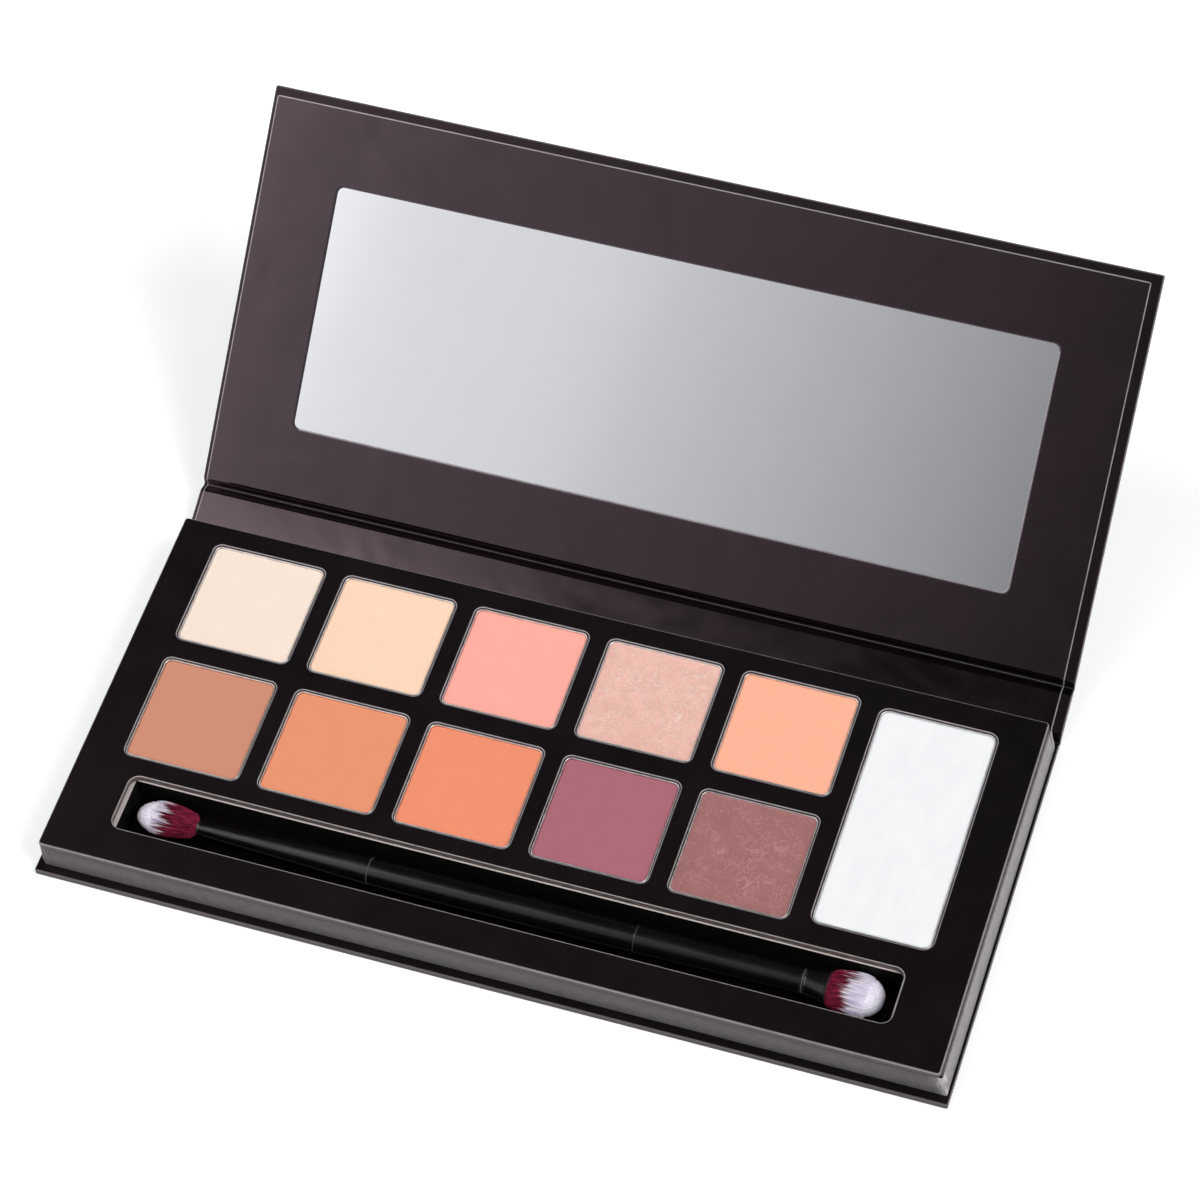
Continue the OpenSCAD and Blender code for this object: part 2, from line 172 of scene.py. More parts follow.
class Finish(Nodes):
    """A node material; its settings name the shader's own sockets, with _ for a space."""

    def __init__(self, name, **settings):
        self.mat = bpy.data.materials.new(name)
        self.mat.use_nodes = True
        super().__init__(self.mat.node_tree)
        self.bsdf = self.tree.nodes["Principled BSDF"]
        self.place = self.add("TexCoord").outputs["Object"]
        self.fill_in(self.bsdf, **settings)

    def set(self, name, value):
        self.put(self.bsdf.inputs[name], value)

    def noise(self, size, detail=2.0, rough=0.5, stretch=None, warp=0.0):
        """Noise whose blotches are about size metres across."""
        place = self.place
        if stretch:
            place = self.fill_in(self.add("Mapping", place), Scale=stretch).outputs["Vector"]
        node = self.add("TexNoise", place)
        self.fill_in(node, Scale=1 / size, Detail=detail, Roughness=rough, Distortion=warp)
        return node.outputs["Fac"]

    def cells(self, size):
        """Cells about size metres across, each of its own colour."""
        return self.fill_in(self.add("TexVoronoi", self.place), Scale=1 / size).outputs["Color"]

    def mix(self, share, a, b):
        node = self.add("Mix", share, data_type="RGBA")
        self.put(node.inputs[COLOUR_A], a)
        self.put(node.inputs[COLOUR_B], b)
        return node.outputs[COLOUR_OUT]

    def axis(self, name):
        return self.add("SeparateXYZ", self.place).outputs[name]

    def wear_and_painted_light(self):
        """1 along rounded edges and 0 on faces, as the meshes carry it. It marks wear, and also where light
        or shade is painted into the colour.
        """
        return self.add("Attribute", attribute_name="wear_and_painted_light").outputs["Fac"]

    def bump(self, height, depth, strength=1.0, under=None):
        node = self.fill_in(self.add("Bump"), Strength=strength, Distance=depth, Height=height)
        if under is not None:
            self.put(node.inputs["Normal"], under)
        return node.outputs["Normal"]

    def dull(self, pattern, low, high):
        """Roughness that follows a pattern between two values."""
        self.set("Roughness", self.spread(pattern, 0.3, 0.7, low, high))


def rgb(r, g, b):
    """Linear colour from 8-bit display values."""
    def linear(v):
        v /= 255
        return v / 12.92 if v <= 0.04045 else ((v + 0.055) / 1.055) ** 2.4
    return (linear(r), linear(g), linear(b), 1.0)


def shaded(colour, by, lift=0.0):
    """A colour made darker or paler."""
    return tuple(min(1.0, c * by + lift) for c in colour[:3]) + (1,)


def satin_paper(name, dark, warm, edge, rough, index, wavy=0.12, **settings):
    """Film-laminated black paper: fine grain, soft waves, smudges, and paler marked edges that are partly
    wear and partly a painted highlight.
    """
    f = Finish(name, IOR=index, Specular_Tint=FILM_TINT, **settings)
    blotch = f.spread(f.noise(22 * MM, warp=0.4), 0.35, 0.65)
    # Paler colour on marked edges: partly wear, partly a painted highlight. On the tray walls the marks are
    # painted light throughout.
    edge_wear_and_highlight = f.maths("MULTIPLY", f.wear_and_painted_light(), f.spread(f.noise(2.2 * MM, 4, 0.6), 0.30, 0.62, 0.78, 1.0))
    f.set("Base Color", f.mix(edge_wear_and_highlight, f.mix(blotch, dark, warm), edge))
    f.dull(f.noise(9 * MM, 3, 0.55), rough - 0.02, rough + 0.03)
    waves = f.bump(f.noise(22 * MM, warp=0.5), 0.5 * MM, wavy)
    f.set("Normal", f.bump(f.noise(0.28 * MM, 2, 0.6), 0.012 * MM, 0.5, waves))
    return f.mat


def raw_board(name, light, dark):
    """Cut grey board: pressed layers, loose fibres and specks."""
    f = Finish(name, Roughness=0.92, IOR=1.35)
    layers = f.noise(0.5 * MM, 3, 0.6, stretch=(0.15, 0.15, 2.4))
    fibres = f.noise(0.22 * MM, 3, 0.7, stretch=(0.4, 0.4, 1.3))
    tone = f.mix(f.spread(layers, 0.35, 0.65), dark, light)
    specks = f.spread(f.noise(0.35 * MM, 1), 0.66, 0.74)
    f.set("Base Color", f.mix(specks, tone, (0.02, 0.016, 0.014, 1)))
    f.set("Normal", f.bump(fibres, 0.12 * MM, 0.9))
    return f.mat


def black_board(name, lip_highlight):
    """Black board painted pale at its top, as a painted highlight along the lip seen in the brush slot."""
    f = Finish(name, IOR=1.45, Specular_IOR_Level=0.15)
    top = flat_box("channel_divider")[1].z
    up = f.spread(f.axis("Z"), top - 0.06 * MM, top - 0.02 * MM)
    tone = f.mix(f.noise(1.5 * MM, 3), (0.0018, 0.0014, 0.0018, 1), (0.0032, 0.0026, 0.003, 1))
    # Painted highlight: the pale colour covers the board from just below the channel's top upwards.
    f.set("Base Color", f.mix(up, tone, lip_highlight))
    f.dull(f.noise(3 * MM, 3), 0.6, 0.75)
    f.set("Normal", f.bump(f.noise(0.3 * MM, 3, 0.6), 0.02 * MM, 0.6))
    return f.mat


def metal(name, colour, rough):
    """Rolled or plated metal with drawn streaks and fine dulling."""
    f = Finish(name, Metallic=1.0)
    streaks = f.noise(0.5 * MM, 3, 0.6, stretch=(0.08, 1.0, 1.0))
    patches = f.spread(f.noise(2.5 * MM, 3, 0.6), 0.35, 0.7)
    f.set("Base Color", f.mix(patches, colour, shaded(colour, 0.8)))
    f.dull(streaks, rough - 0.06, rough + 0.08)
    f.set("Normal", f.bump(streaks, 0.02 * MM, 0.3))
    return f.mat


def pressed_powder(name, colour):
    """Matt pressed powder: fine grain, faint pressing marks, pigment variation, and a painted shade along
    its rim.
    """
    f = Finish(name, IOR=1.4, Specular_IOR_Level=0.25)
    deep, pale = shaded(colour, 0.93), shaded(colour, 1.02, 0.002)
    cloud = f.spread(f.noise(5 * MM, 3), 0.3, 0.7)
    specks = f.spread(f.noise(0.22 * MM, 2, 0.6), 0.42, 0.72, 0.0, 0.6)
    # Painted shade: darker where the powder falls towards its pan's rim.
    edge = f.maths("MULTIPLY", f.wear_and_painted_light(), 0.5)
    f.set("Base Color", f.mix(edge, f.mix(specks, f.mix(cloud, colour, pale), deep), deep))
    f.dull(f.noise(1.2 * MM, 3), 0.86, 0.96)
    press = f.bump(f.noise(3.5 * MM), 0.03 * MM, 0.25)
    f.set("Normal", f.bump(f.noise(0.13 * MM, 3, 0.65), 0.03 * MM, 0.8, press))
    return f.mat


def shimmer_powder(name, colour, painted_glint_colour, glint):
    """Pressed powder with pearl flakes that each face their own way. A share of the flakes is painted pale
    as painted glints, and the raised lines and the rim are painted paler as a painted highlight.
    """
    f = Finish(name, Metallic=0.15, IOR=1.4)
    chance = f.add("SeparateColor", f.cells(0.16 * MM)).outputs[0]
    cloud = f.spread(f.noise(4.0 * MM, 3, warp=1.0), 0.3, 0.7)
    tone = f.mix(cloud, shaded(colour, 0.90), colour)
    # Painted highlight: the raised lines and the rim are mixed towards the pale glint colour.
    tone = f.mix(f.maths("MULTIPLY", f.wear_and_painted_light(), 0.6), tone, painted_glint_colour)
    # Painted glints: a share of the flakes takes the pale glint colour outright.
    f.set("Base Color", f.mix(f.spread(chance, 1.0 - glint, 1.0), tone, painted_glint_colour))
    f.set("Roughness", f.spread(chance, 0.0, 1.0, 0.55, 0.28))
    tilt = f.bump(chance, 0.10 * MM, 0.55)
    f.set("Normal", f.bump(f.noise(0.18 * MM, 3, 0.6), 0.04 * MM, 0.7, tilt))
    return f.mat


def white_cream(name):
    """Smooth cream with a soft skin, faint swirls, and a rim painted slightly grey as painted shade."""
    f = Finish(name, IOR=1.42, Subsurface_Weight=0.12, Subsurface_Scale=1.0,
               Subsurface_Radius=(0.8 * MM, 0.7 * MM, 0.6 * MM))
    swirl = f.spread(f.noise(7 * MM, 3, stretch=(1.0, 0.4, 1.0), warp=1.5), 0.3, 0.7)
    white = f.mix(swirl, rgb(243, 245, 247), rgb(248, 249, 250))
    # Painted shade: greyer towards the rim.
    f.set("Base Color", f.mix(f.maths("MULTIPLY", f.wear_and_painted_light(), 0.6), white, rgb(214, 216, 219)))
    f.dull(f.noise(4 * MM, 3), 0.38, 0.52)
    broad = f.bump(f.noise(9 * MM, stretch=(1.0, 0.35, 1.0), warp=1.0), 0.12 * MM, 0.25)
    f.set("Normal", f.bump(f.noise(0.6 * MM, 3), 0.015 * MM, 0.5, broad))
    return f.mat


def mirror_silver(name):
    """Silvered glass with a faint haze of handling."""
    f = Finish(name, Metallic=1.0)
    haze = f.noise(14 * MM, 4, 0.55, warp=0.8)
    f.set("Base Color", f.mix(haze, (0.81, 0.82, 0.85, 1), (0.85, 0.855, 0.885, 1)))
    rim = f.maths("MULTIPLY", f.wear_and_painted_light(), 0.35)
    f.set("Roughness", f.maths("ADD", rim, f.spread(haze, 0.35, 0.75, 0.015, 0.05)))
    return f.mat


def lacquer(name, rough, edge):
    """Black lacquer with orange peel, fine dust marks, and a paler colour on marked edges and seam rings."""
    f = Finish(name, IOR=1.5)
    tone = f.mix(f.noise(6 * MM, 3), (0.0022, 0.002, 0.0024, 1), (0.0040, 0.0035, 0.0040, 1))
    f.set("Base Color", f.mix(f.wear_and_painted_light(), tone, edge))
    f.dull(f.noise(5 * MM, 4, 0.6), rough - 0.03, rough + 0.05)
    f.set("Normal", f.bump(f.noise(2.6 * MM), 0.02 * MM, 0.4))
    return f.mat


def hair(name, root_x, tip_x, change):
    """Bristles dyed at the root, pale at the tip, with an uneven border."""
    f = Finish(name, Roughness=0.6, IOR=1.5, Specular_IOR_Level=0.25)
    along = f.spread(f.axis("X"), root_x, tip_x)
    along.node.interpolation_type = "LINEAR"
    locks = f.noise(0.8 * MM, 1, stretch=(0.10, 1.0, 1.0))
    strands = f.noise(0.25 * MM, 1, stretch=(0.05, 1.0, 1.0))
    shade = f.spread(strands, 0.32, 0.68)
    jag = f.maths("ADD", f.spread(locks, 0.35, 0.65, -0.09, 0.09), f.spread(strands, 0.3, 0.7, -0.08, 0.08))
    share = f.spread(f.maths("ADD", along, jag), change - 0.09, change + 0.09)
    red = f.mix(shade, rgb(84, 12, 34), rgb(158, 44, 78))
    white = f.mix(shade, rgb(222, 214, 236), rgb(254, 250, 255))
    f.set("Base Color", f.mix(share, red, white))
    f.set("Normal", f.bump(strands, 0.05 * MM, 0.5))
    return f.mat


def tape(name):
    """Creamy adhesive sheet with a slightly uneven face."""
    f = Finish(name, Roughness=0.6)
    f.set("Base Color", f.mix(f.noise(2 * MM, 3), (0.68, 0.67, 0.60, 1), (0.78, 0.77, 0.70, 1)))
    f.set("Normal", f.bump(f.noise(0.8 * MM, 3), 0.03 * MM, 0.5))
    return f.mat


COVER = satin_paper("cover_paper", rgb(5, 4, 5), rgb(8, 6, 7), rgb(92, 87, 90), 0.30, 1.42)
LINING = satin_paper("lining_paper", rgb(6, 3, 5), rgb(10, 5, 7), rgb(148, 144, 147), 0.155, 1.72, 0.32)
CARD_PAPER = satin_paper("tray_paper", rgb(10, 8, 10), rgb(14, 9, 11), rgb(172, 166, 166), 0.36, 1.45)
# The wall paper's pale colour carries the walls' painted highlight and the paleness of the corner tucks.
WALL_PAPER = satin_paper("wall_paper", rgb(16, 14, 16), rgb(22, 18, 20), rgb(172, 168, 172), 0.42, 1.5,
                         Sheen_Weight=0.02, Sheen_Roughness=0.2)
BOARD = raw_board("grey_board", rgb(128, 114, 112), rgb(78, 66, 66))
# The pale colour passed here is a painted highlight along the slot's lip.
CHANNEL = black_board("channel_board", rgb(205, 196, 192))
TIN = metal("tin", (0.86, 0.85, 0.86, 1), 0.38)
STEEL = metal("plated_steel", (0.55, 0.56, 0.58, 1), 0.3)
SILVER = mirror_silver("mirror")
CREAM = white_cream("cream")
HANDLE = lacquer("handle_lacquer", 0.24, (0.03, 0.028, 0.03, 1))
FERRULE = lacquer("ferrule_lacquer", 0.30, (0.10, 0.095, 0.10, 1))
TAPE = tape("adhesive")


# ---- Mesh building: rings of points joined into closed skins ----

def ring(rect, radius=0.0, grow=0.0, open_ys="", cuts=(0, 0)):
    """Points round a rectangle with round corners, anticlockwise from its front left.
    open_ys names the ends ("front", "rear") that stay square and don't grow; cuts adds
    points along the sides that run in x and in y."""
    x0, y0, x1, y1 = rect
    front, rear = "front" in open_ys, "rear" in open_ys
    x0, x1 = x0 - grow, x1 + grow
    y0 = y0 if front else y0 - grow
    y1 = y1 if rear else y1 + grow
    r = max(radius + grow, 0.02 * MM)
    corners = (
        (x0, y0, 1, 1, 180, front, cuts[0]), (x1, y0, -1, 1, 270, front, cuts[1]),
        (x1, y1, -1, -1, 0, rear, cuts[0]), (x0, y1, 1, -1, 90, rear, cuts[1]),
    )
    groups = []
    for x, y, sx, sy, start, square, _ in corners:
        if square or radius == 0:
            groups.append([(x, y)])
            continue
        turn = [radians(start + 90 * k / CORNER_STEPS) for k in range(CORNER_STEPS + 1)]
        groups.append([(x + sx * r + r * cos(a), y + sy * r + r * sin(a)) for a in turn])
    points = []
    for i, group in enumerate(groups):
        points += group
        a, b = Vector(group[-1]), Vector(groups[(i + 1) % 4][0])
        parts = corners[i][-1] + 1
        points += [tuple(a.lerp(b, k / parts)) for k in range(1, parts)]
    return points


def new_bm():
    """An empty mesh whose points carry their wear and painted light."""
    bm = bmesh.new()
    bm.verts.layers.float.new("wear_and_painted_light")
    return bm


def wear_and_light_layer(bm):
    return bm.verts.layers.float["wear_and_painted_light"]


def add_points(bm, points, wear_and_painted_light=0.0):
    layer = wear_and_light_layer(bm)
    made = []
    for p in points:
        v = bm.verts.new(p)
        v[layer] = wear_and_painted_light
        made.append(v)
    return made


def chain(bm, rings, closed=True):
    """Joins each ring of points to the one before."""
    n = len(rings[0])
    for a, b in zip(rings, rings[1:]):
        for i in range(n if closed else n - 1):
            j = (i + 1) % n
            bm.faces.new((a[i], a[j], b[j], b[i]))
    return rings


def cap(bm, rings):
    """Closes both ends of a chain of rings."""
    for end in (rings[0], rings[-1]):
        bm.faces.new(end)


def ring_edges(bm, verts):
    pairs = zip(verts, verts[1:] + verts[:1])
    return [bm.edges.get(pair) or bm.edges.new(pair) for pair in pairs]


def fill(bm, rings):
    """Closes the area between an outer ring and the holes in it."""
    if len(rings) == 1:
        bm.faces.new(rings[0])
        return
    edges = [e for verts in rings for e in ring_edges(bm, verts)]
    bmesh.ops.triangle_fill(bm, use_beauty=True, use_dissolve=False, edges=edges)


def stack(bm, levels):
    """Rings at successive levels, each (points, z, wear), joined to the one before."""
    return chain(bm, [add_points(bm, [(x, y, z) for x, y in points], wear_and_painted_light) for points, z, wear_and_painted_light in levels])


def rounded(low, high, across, down, foot=0.0, side=0.0, steps=3):
    """Edge profile from the top face down, as (grow, z, wear_and_painted_light); side is that value on the
    flat side.
    """
    profile = []
    for k in range(steps + 1):
        a = pi / 2 * k / steps
        profile.append((across * (sin(a) - 1), high - down * (1 - cos(a)), 1.0 if k else 0.0))
    profile.append((0.0, high - down - 0.07 * MM, side))
    profile.append((0.0, low + foot + 0.07 * MM, side))
    if not foot:
        return profile + [(0.0, low, side)]
    for k in range(steps + 1):
        a = pi / 2 * k / steps
        profile.append((foot * (cos(a) - 1), low + foot * (1 - sin(a)), 0.0))
    return profile


def edge_rows(z, steps):
    """Part of an edge profile, from (grow, drop below z, wear_and_painted_light) in millimetres."""
    return [(grow * MM, z - drop * MM, wear_and_painted_light) for grow, drop, wear_and_painted_light in steps]


def levels_of(rect, radius, profile, sign=1, open_ys="", cuts=(0, 0)):
    return [(ring(rect, radius, sign * g, open_ys, cuts), z, w) for g, z, w in profile]


def plate(bm, outer, holes=()):
    """A flat solid; outer and each hole are lists of levels from the top face down."""
    made = [stack(bm, levels) for levels in (outer, *holes)]
    fill(bm, [m[0] for m in made])
    fill(bm, [m[-1] for m in made])


def close_end(bm, y):
    """Turns the doubled end face of a shell into its true cut section."""
    flat = [f for f in bm.faces if all(abs(v.co.y - y) < TINY for v in f.verts)]
    bmesh.ops.delete(bm, geom=flat, context="FACES")
    rim = [e for e in bm.edges if e.is_boundary and all(abs(v.co.y - y) < TINY for v in e.verts)]
    bmesh.ops.triangle_fill(bm, use_beauty=True, use_dissolve=False, edges=rim)


def make(name, bm, material, place=ON_BASE, crease=35, even=True):
    """The object of a finished bmesh, moved from a board's flat frame to its place."""
    bmesh.ops.recalc_face_normals(bm, faces=bm.faces)
    bm.transform(place)
    mesh = bpy.data.meshes.new(name)
    bm.to_mesh(mesh)
    bm.free()
    mesh.materials.append(material)
    mesh.polygons.foreach_set("use_smooth", [True] * len(mesh.polygons))
    mesh.set_sharp_from_angle(angle=radians(crease))
    obj = bpy.data.objects.new(name, mesh)
    bpy.context.scene.collection.objects.link(obj)
    if even:
        weigh = obj.modifiers.new("even_faces", "WEIGHTED_NORMAL")
        weigh.keep_sharp = True
        bpy.context.view_layer.update()
        solid = bpy.data.meshes.new_from_object(obj.evaluated_get(bpy.context.evaluated_depsgraph_get()))
        obj.modifiers.clear()
        obj.data = solid
        solid.name = name
    return obj


def settle(obj, body, slot, *nodes):
    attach(obj, body)
    if nodes:
        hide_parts(*nodes)


# ---- Cover: one sheet of paper round three boards, with two folds ----

EDGE_R = 0.30 * MM
COVER_CORNER = 0.4 * MM
TURN_IN = 12 * MM


def board_cover(name, place, box, top, opening, body, node, open_ys):
    """Paper round a board: outside face, rounded edges and the turned-in border."""
    rect = rect_of(box)
    bm = new_bm()
    # Only the top rounding is marked paler: partly wear, partly a painted highlight along the board's top
    # edge. The foot stays dark.
    wrap = rounded(0, top, EDGE_R, EDGE_R, EDGE_R)[::-1]
    levels = levels_of(rect, COVER_CORNER, wrap, 1, open_ys)
    levels += [(ring(opening, 0.3 * MM, 0, open_ys), z, 0.0) for z in (top, top - PAPER)]
    levels += levels_of(rect, COVER_CORNER, [(-PAPER, top - PAPER, 0), (-PAPER, PAPER, 0)], 1, open_ys)
    cap(bm, stack(bm, levels))
    if "front" in open_ys:
        close_end(bm, rect[1])
    if "rear" in open_ys:
        close_end(bm, rect[3])
    settle(make(name, bm, COVER, place), body, "cover_paper", node)


def turned_in(box, open_front, open_rear):
    """The opening that a board's turned-in paper leaves."""
    x0, y0, x1, y1 = rect_of(box)
    front, rear = y0 + (0 if open_front else TURN_IN), y1 - (0 if open_rear else TURN_IN)
    return (x0 + TURN_IN, front, x1 - TURN_IN, rear)


SPINE_BORDER = SPINE[1].z + PAPER / 2
board_cover("cover_base", ON_BASE, BASE, BASE[1].z, turned_in(BASE, False, True),
            "base", "base_wrap", "rear")
board_cover("cover_lid", ON_LID, LID, LID[1].z, turned_in(LID, True, False),
            "lid", "lid_wrap", "front")
board_cover("cover_spine", ON_SPINE, SPINE, SPINE_BORDER,
            (SPINE_LINING[0].x + PAPER, SPINE[0].y, SPINE_LINING[1].x - PAPER, SPINE[1].y),
            "spine", "spine_wrap", "front rear")


def cut_edge(box, foot, drop):
    """The cut edge of a lining: its top corner falls by drop, then it runs down to its foot."""
    return edge_rows(box[1].z, ((-0.30, 0, 0.0), (-0.18, 0.01, 1.0), (0, drop, 1.0))) + [(0, foot, 1.0)]


def lining_on_lid():
    """The lid's lining: cut edges, a window over the mirror, and its bed between the turn-ins."""
    top, rest = LID_LINING[1].z, LID[1].z
    outer = levels_of(rect_of(LID_LINING), 0.5 * MM, cut_edge(LID_LINING, rest, 0.06), open_ys="front")
    pocket = ring(turned_in(LID, True, False), 0.3 * MM, 0, "front")
    outer += [(pocket, rest, 0.0), (pocket, MIRROR[1].z, 0.0)]
    lap, shaded_rim = 1.0 * MM, 1.4 * MM
    window = grown(rect_of(MIRROR), -lap)
    sunk = edge_rows(top, ((-0.60, 0, 0.0), (-0.30, 0.02, 0.2), (-0.20, 0.04, 1.0), (0, 0.13, 1.0)))
    sunk += edge_rows(MIRROR[1].z, [(0, -0.01, 1.0)])
    bm = new_bm()
    plate(bm, outer, [levels_of(window, 1.5 * MM, sunk, -1)])
    # Painted highlight: the window's cut edge stays pale only on its right side and the side nearest the
    # fold. On the left and far sides it is dimmed to 0.15.
    layer = wear_and_light_layer(bm)
    for v in bm.verts:
        by_window = MIRROR[0].x < v.co.x < MIRROR[1].x and MIRROR[0].y < v.co.y < MIRROR[1].y
        if by_window and (v.co.x < window[0] + shaded_rim or v.co.y > window[3] - shaded_rim):
            v[layer] *= 0.15
    settle(make("lining_lid", bm, LINING, ON_LID), "lid", "lining_paper", "lid_lining")


def lining_on_spine():
    edge = cut_edge(SPINE_LINING, SPINE_LINING[0].z, 0.05)
    bm = new_bm()
    plate(bm, levels_of(rect_of(SPINE_LINING), 0.5 * MM, edge, open_ys="front rear"))
    settle(make("lining_spine", bm, LINING, ON_SPINE), "spine", "lining_paper", "spine_lining")


lining_on_lid()
lining_on_spine()

# Half section of a fold, by distance from its line in millimetres
FOLD_STEPS = (2.0, 1.85, 1.6, 1.3, 1.0, 0.75, 0.55, 0.42, 0.32, 0.22, 0.15, 0.09, 0.04)
FOLD_REACH = FOLD_STEPS[0] * MM
FOLD_PARTS = 56
FOLD_RIM = 0.3 * MM
BEND = 0.5 * MM
VALLEY, VALLEY_HALF = 0.26 * MM, 0.22 * MM
RIDGE, RIDGE_HALF = 0.22 * MM, 0.11 * MM
GROOVE, GROOVE_HALF = 0.10 * MM, 0.8 * MM


def fold_height(u, board):
    """Height of the sheet that spans from a board's edge down to the crease."""
    t = max(0.0, (abs(u) - VALLEY_HALF) / (FOLD_REACH - VALLEY_HALF))
    slope = 1 - (1 - t) ** 1.35
    crease = RIDGE * exp(-((u / RIDGE_HALF) ** 2))
    return VALLEY + (board - VALLEY) * slope + crease


def fold_section(u, x, boards, lift):
    """(under, over) heights of the fold's paper at distance u from its line."""
    board = boards[0] if u < 0 else boards[1]
    fade = 1 - (abs(u) / FOLD_REACH) ** 2
    wander = 0.035 * MM * noise.noise(Vector((x * 90, u * 400, lift * 3000))) * fade
    over = fold_height(u, board) + wander
    dent = GROOVE * exp(-((u / GROOVE_HALF) ** 2))
    return (dent, over) if lift == 0 else (over, over + lift)


def fold_stations(span):
    """Places along a fold: close together at both ends, then evenly spaced."""
    ends = [0.0, 0.04 * MM, 0.12 * MM, FOLD_RIM]
    inner = [FOLD_RIM + (span[1] - span[0] - 2 * FOLD_RIM) * k / FOLD_PARTS for k in range(1, FOLD_PARTS)]
    return [span[0] + e for e in ends + inner] + [span[1] - e for e in reversed(ends)]


def fold_row(x, us, near, boards, frames, lift):
    """Points under and over the sheet at x, bent between the two boards' frames."""
    drop = FOLD_RIM - sqrt(max(0.0, FOLD_RIM ** 2 - (FOLD_RIM - near) ** 2))
    under, over = [], []
    for u in us:
        low, high = fold_section(u, x, boards, lift)
        squeeze = min(drop, 0.45 * (high - low))
        t = min(1.0, max(0.0, (u + BEND) / (2 * BEND)))
        share = t * t * (3 - 2 * t)
        for z, row in ((low + squeeze, under), (high - squeeze, over)):
            a, b = (f @ Vector((x, u, z)) for f in frames)
            row.append(a.lerp(b, share))
    return under, over


def fold_piece(name, joint, tilts, boards, bodies, span, lift, material, slot, nodes):
    """A strip of paper that bends across a fold line."""
    frames = [fold_frame(joint, tilt) for tilt in tilts]
    us = [-u * MM for u in FOLD_STEPS] + [0.0] + [u * MM for u in reversed(FOLD_STEPS)]
    crisp = [max(0.0, 1 - abs(u) / (0.12 * MM)) for u in us]
    bm = new_bm()
    layer = wear_and_light_layer(bm)
    rows = []
    for x in fold_stations(span):
        near = min(x - span[0], span[1] - x, FOLD_RIM)
        under, over = fold_row(x, us, near, boards, frames, lift)
        edge = 1.0 if near < FOLD_RIM / 2 else 0.0
        lower, upper = add_points(bm, under), add_points(bm, over)
        for v, c in zip(upper, crisp):
            v[layer] = max(c, edge)
        rows.append(lower + upper[::-1])
    chain(bm, rows)
    n = len(us)
    for row in (rows[0], rows[-1]):
        for i in range(n - 1):
            bm.faces.new((row[i], row[i + 1], row[2 * n - 2 - i], row[2 * n - 1 - i]))
    obj = make(name, bm, material, crease=50, even=False)
    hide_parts(*nodes)
    start = frames[0] @ Vector((0, -BEND, 0))
    end = frames[1] @ Vector((0, BEND, 0))
    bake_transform(obj, bodies[0], bodies[1], start=tuple(start), end=tuple(end))


COVER_SPAN = (BASE[0].x, BASE[1].x)
LINING_SPAN = (SPINE_LINING[0].x, SPINE_LINING[1].x)
FOLDS = (
    ("lower_fold", "spine_fold", (0.0, SPINE_TILT), (BASE[1].z, SPINE_BORDER), ("base", "spine"),
     ("lower_fold_base_leaf", "lower_fold_spine_leaf")),
    ("upper_fold", "lid_fold", (SPINE_TILT, LID_TILT), (SPINE_BORDER, LID[1].z), ("spine", "lid"),
     ("upper_fold_spine_leaf", "upper_fold_lid_leaf")),
)
for fold, joint, *places, leaves in FOLDS:
    fold_piece(f"{fold}_cover", joint, *places, COVER_SPAN, 0, COVER, "cover_paper", leaves)
    fold_piece(f"{fold}_lining", joint, *places, LINING_SPAN, PAPER, LINING, "lining_paper", leaves)


# ---- Mirror ----

def mirror():
    glass = edge_rows(MIRROR[1].z, ((-0.5, 0, 0.0), (0, 0.15, 1.0)))
    glass += edge_rows(MIRROR[0].z, ((0, -0.1, 1.0), (-0.1, 0, 0.0)))
    bm = new_bm()
    plate(bm, levels_of(rect_of(MIRROR), 1.5 * MM, glass))
    settle(make("mirror", bm, SILVER, ON_LID), "lid", "mirror", "mirror_glass")


mirror()


# ---- Tray: wrapped walls and a thick card with windows ----

PANS = [f"pan_{i}" for i in range(1, 11)]
SHADOWS = [f"shadow_{i}" for i in range(1, 11)]
WINDOW_GAP = 0.22 * MM
WINDOW_R = 1.85 * MM
CREAM_WINDOW_R = 2.35 * MM
SLOT_R = 2.4 * MM
CARD_SHORT = 0.75 * MM
WALL_FLARE = 1.05 * MM


def slot_rect():
    """The card's brush slot, measured from the channel that lies under it."""
    ledge = 0.35 * MM
    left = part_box("channel_end_left")[1].x - ledge - 0.6 * MM
    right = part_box("channel_end_right")[0].x + ledge
    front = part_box("tray_wall_front")[1].y - ledge
    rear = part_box("channel_divider")[0].y + ledge
    return (left, front, right, rear)


def windows():
    """Every opening in the card: (rect, corner radius, cuts along its sides)."""
    pans = [(grown(rect_of(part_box(n)), WINDOW_GAP), WINDOW_R, (16, 16)) for n in PANS]
    cream = (grown(rect_of(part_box("cream_pan")), WINDOW_GAP), CREAM_WINDOW_R, (16, 36))
    return pans + [cream, (slot_rect(), SLOT_R, (112, 8))]


def card_outline(box):
    """The card's outline, which stops short of the right wall."""
    x0, y0, x1, y1 = rect_of(box)
    return (x0, y0, x1 - CARD_SHORT, y1)


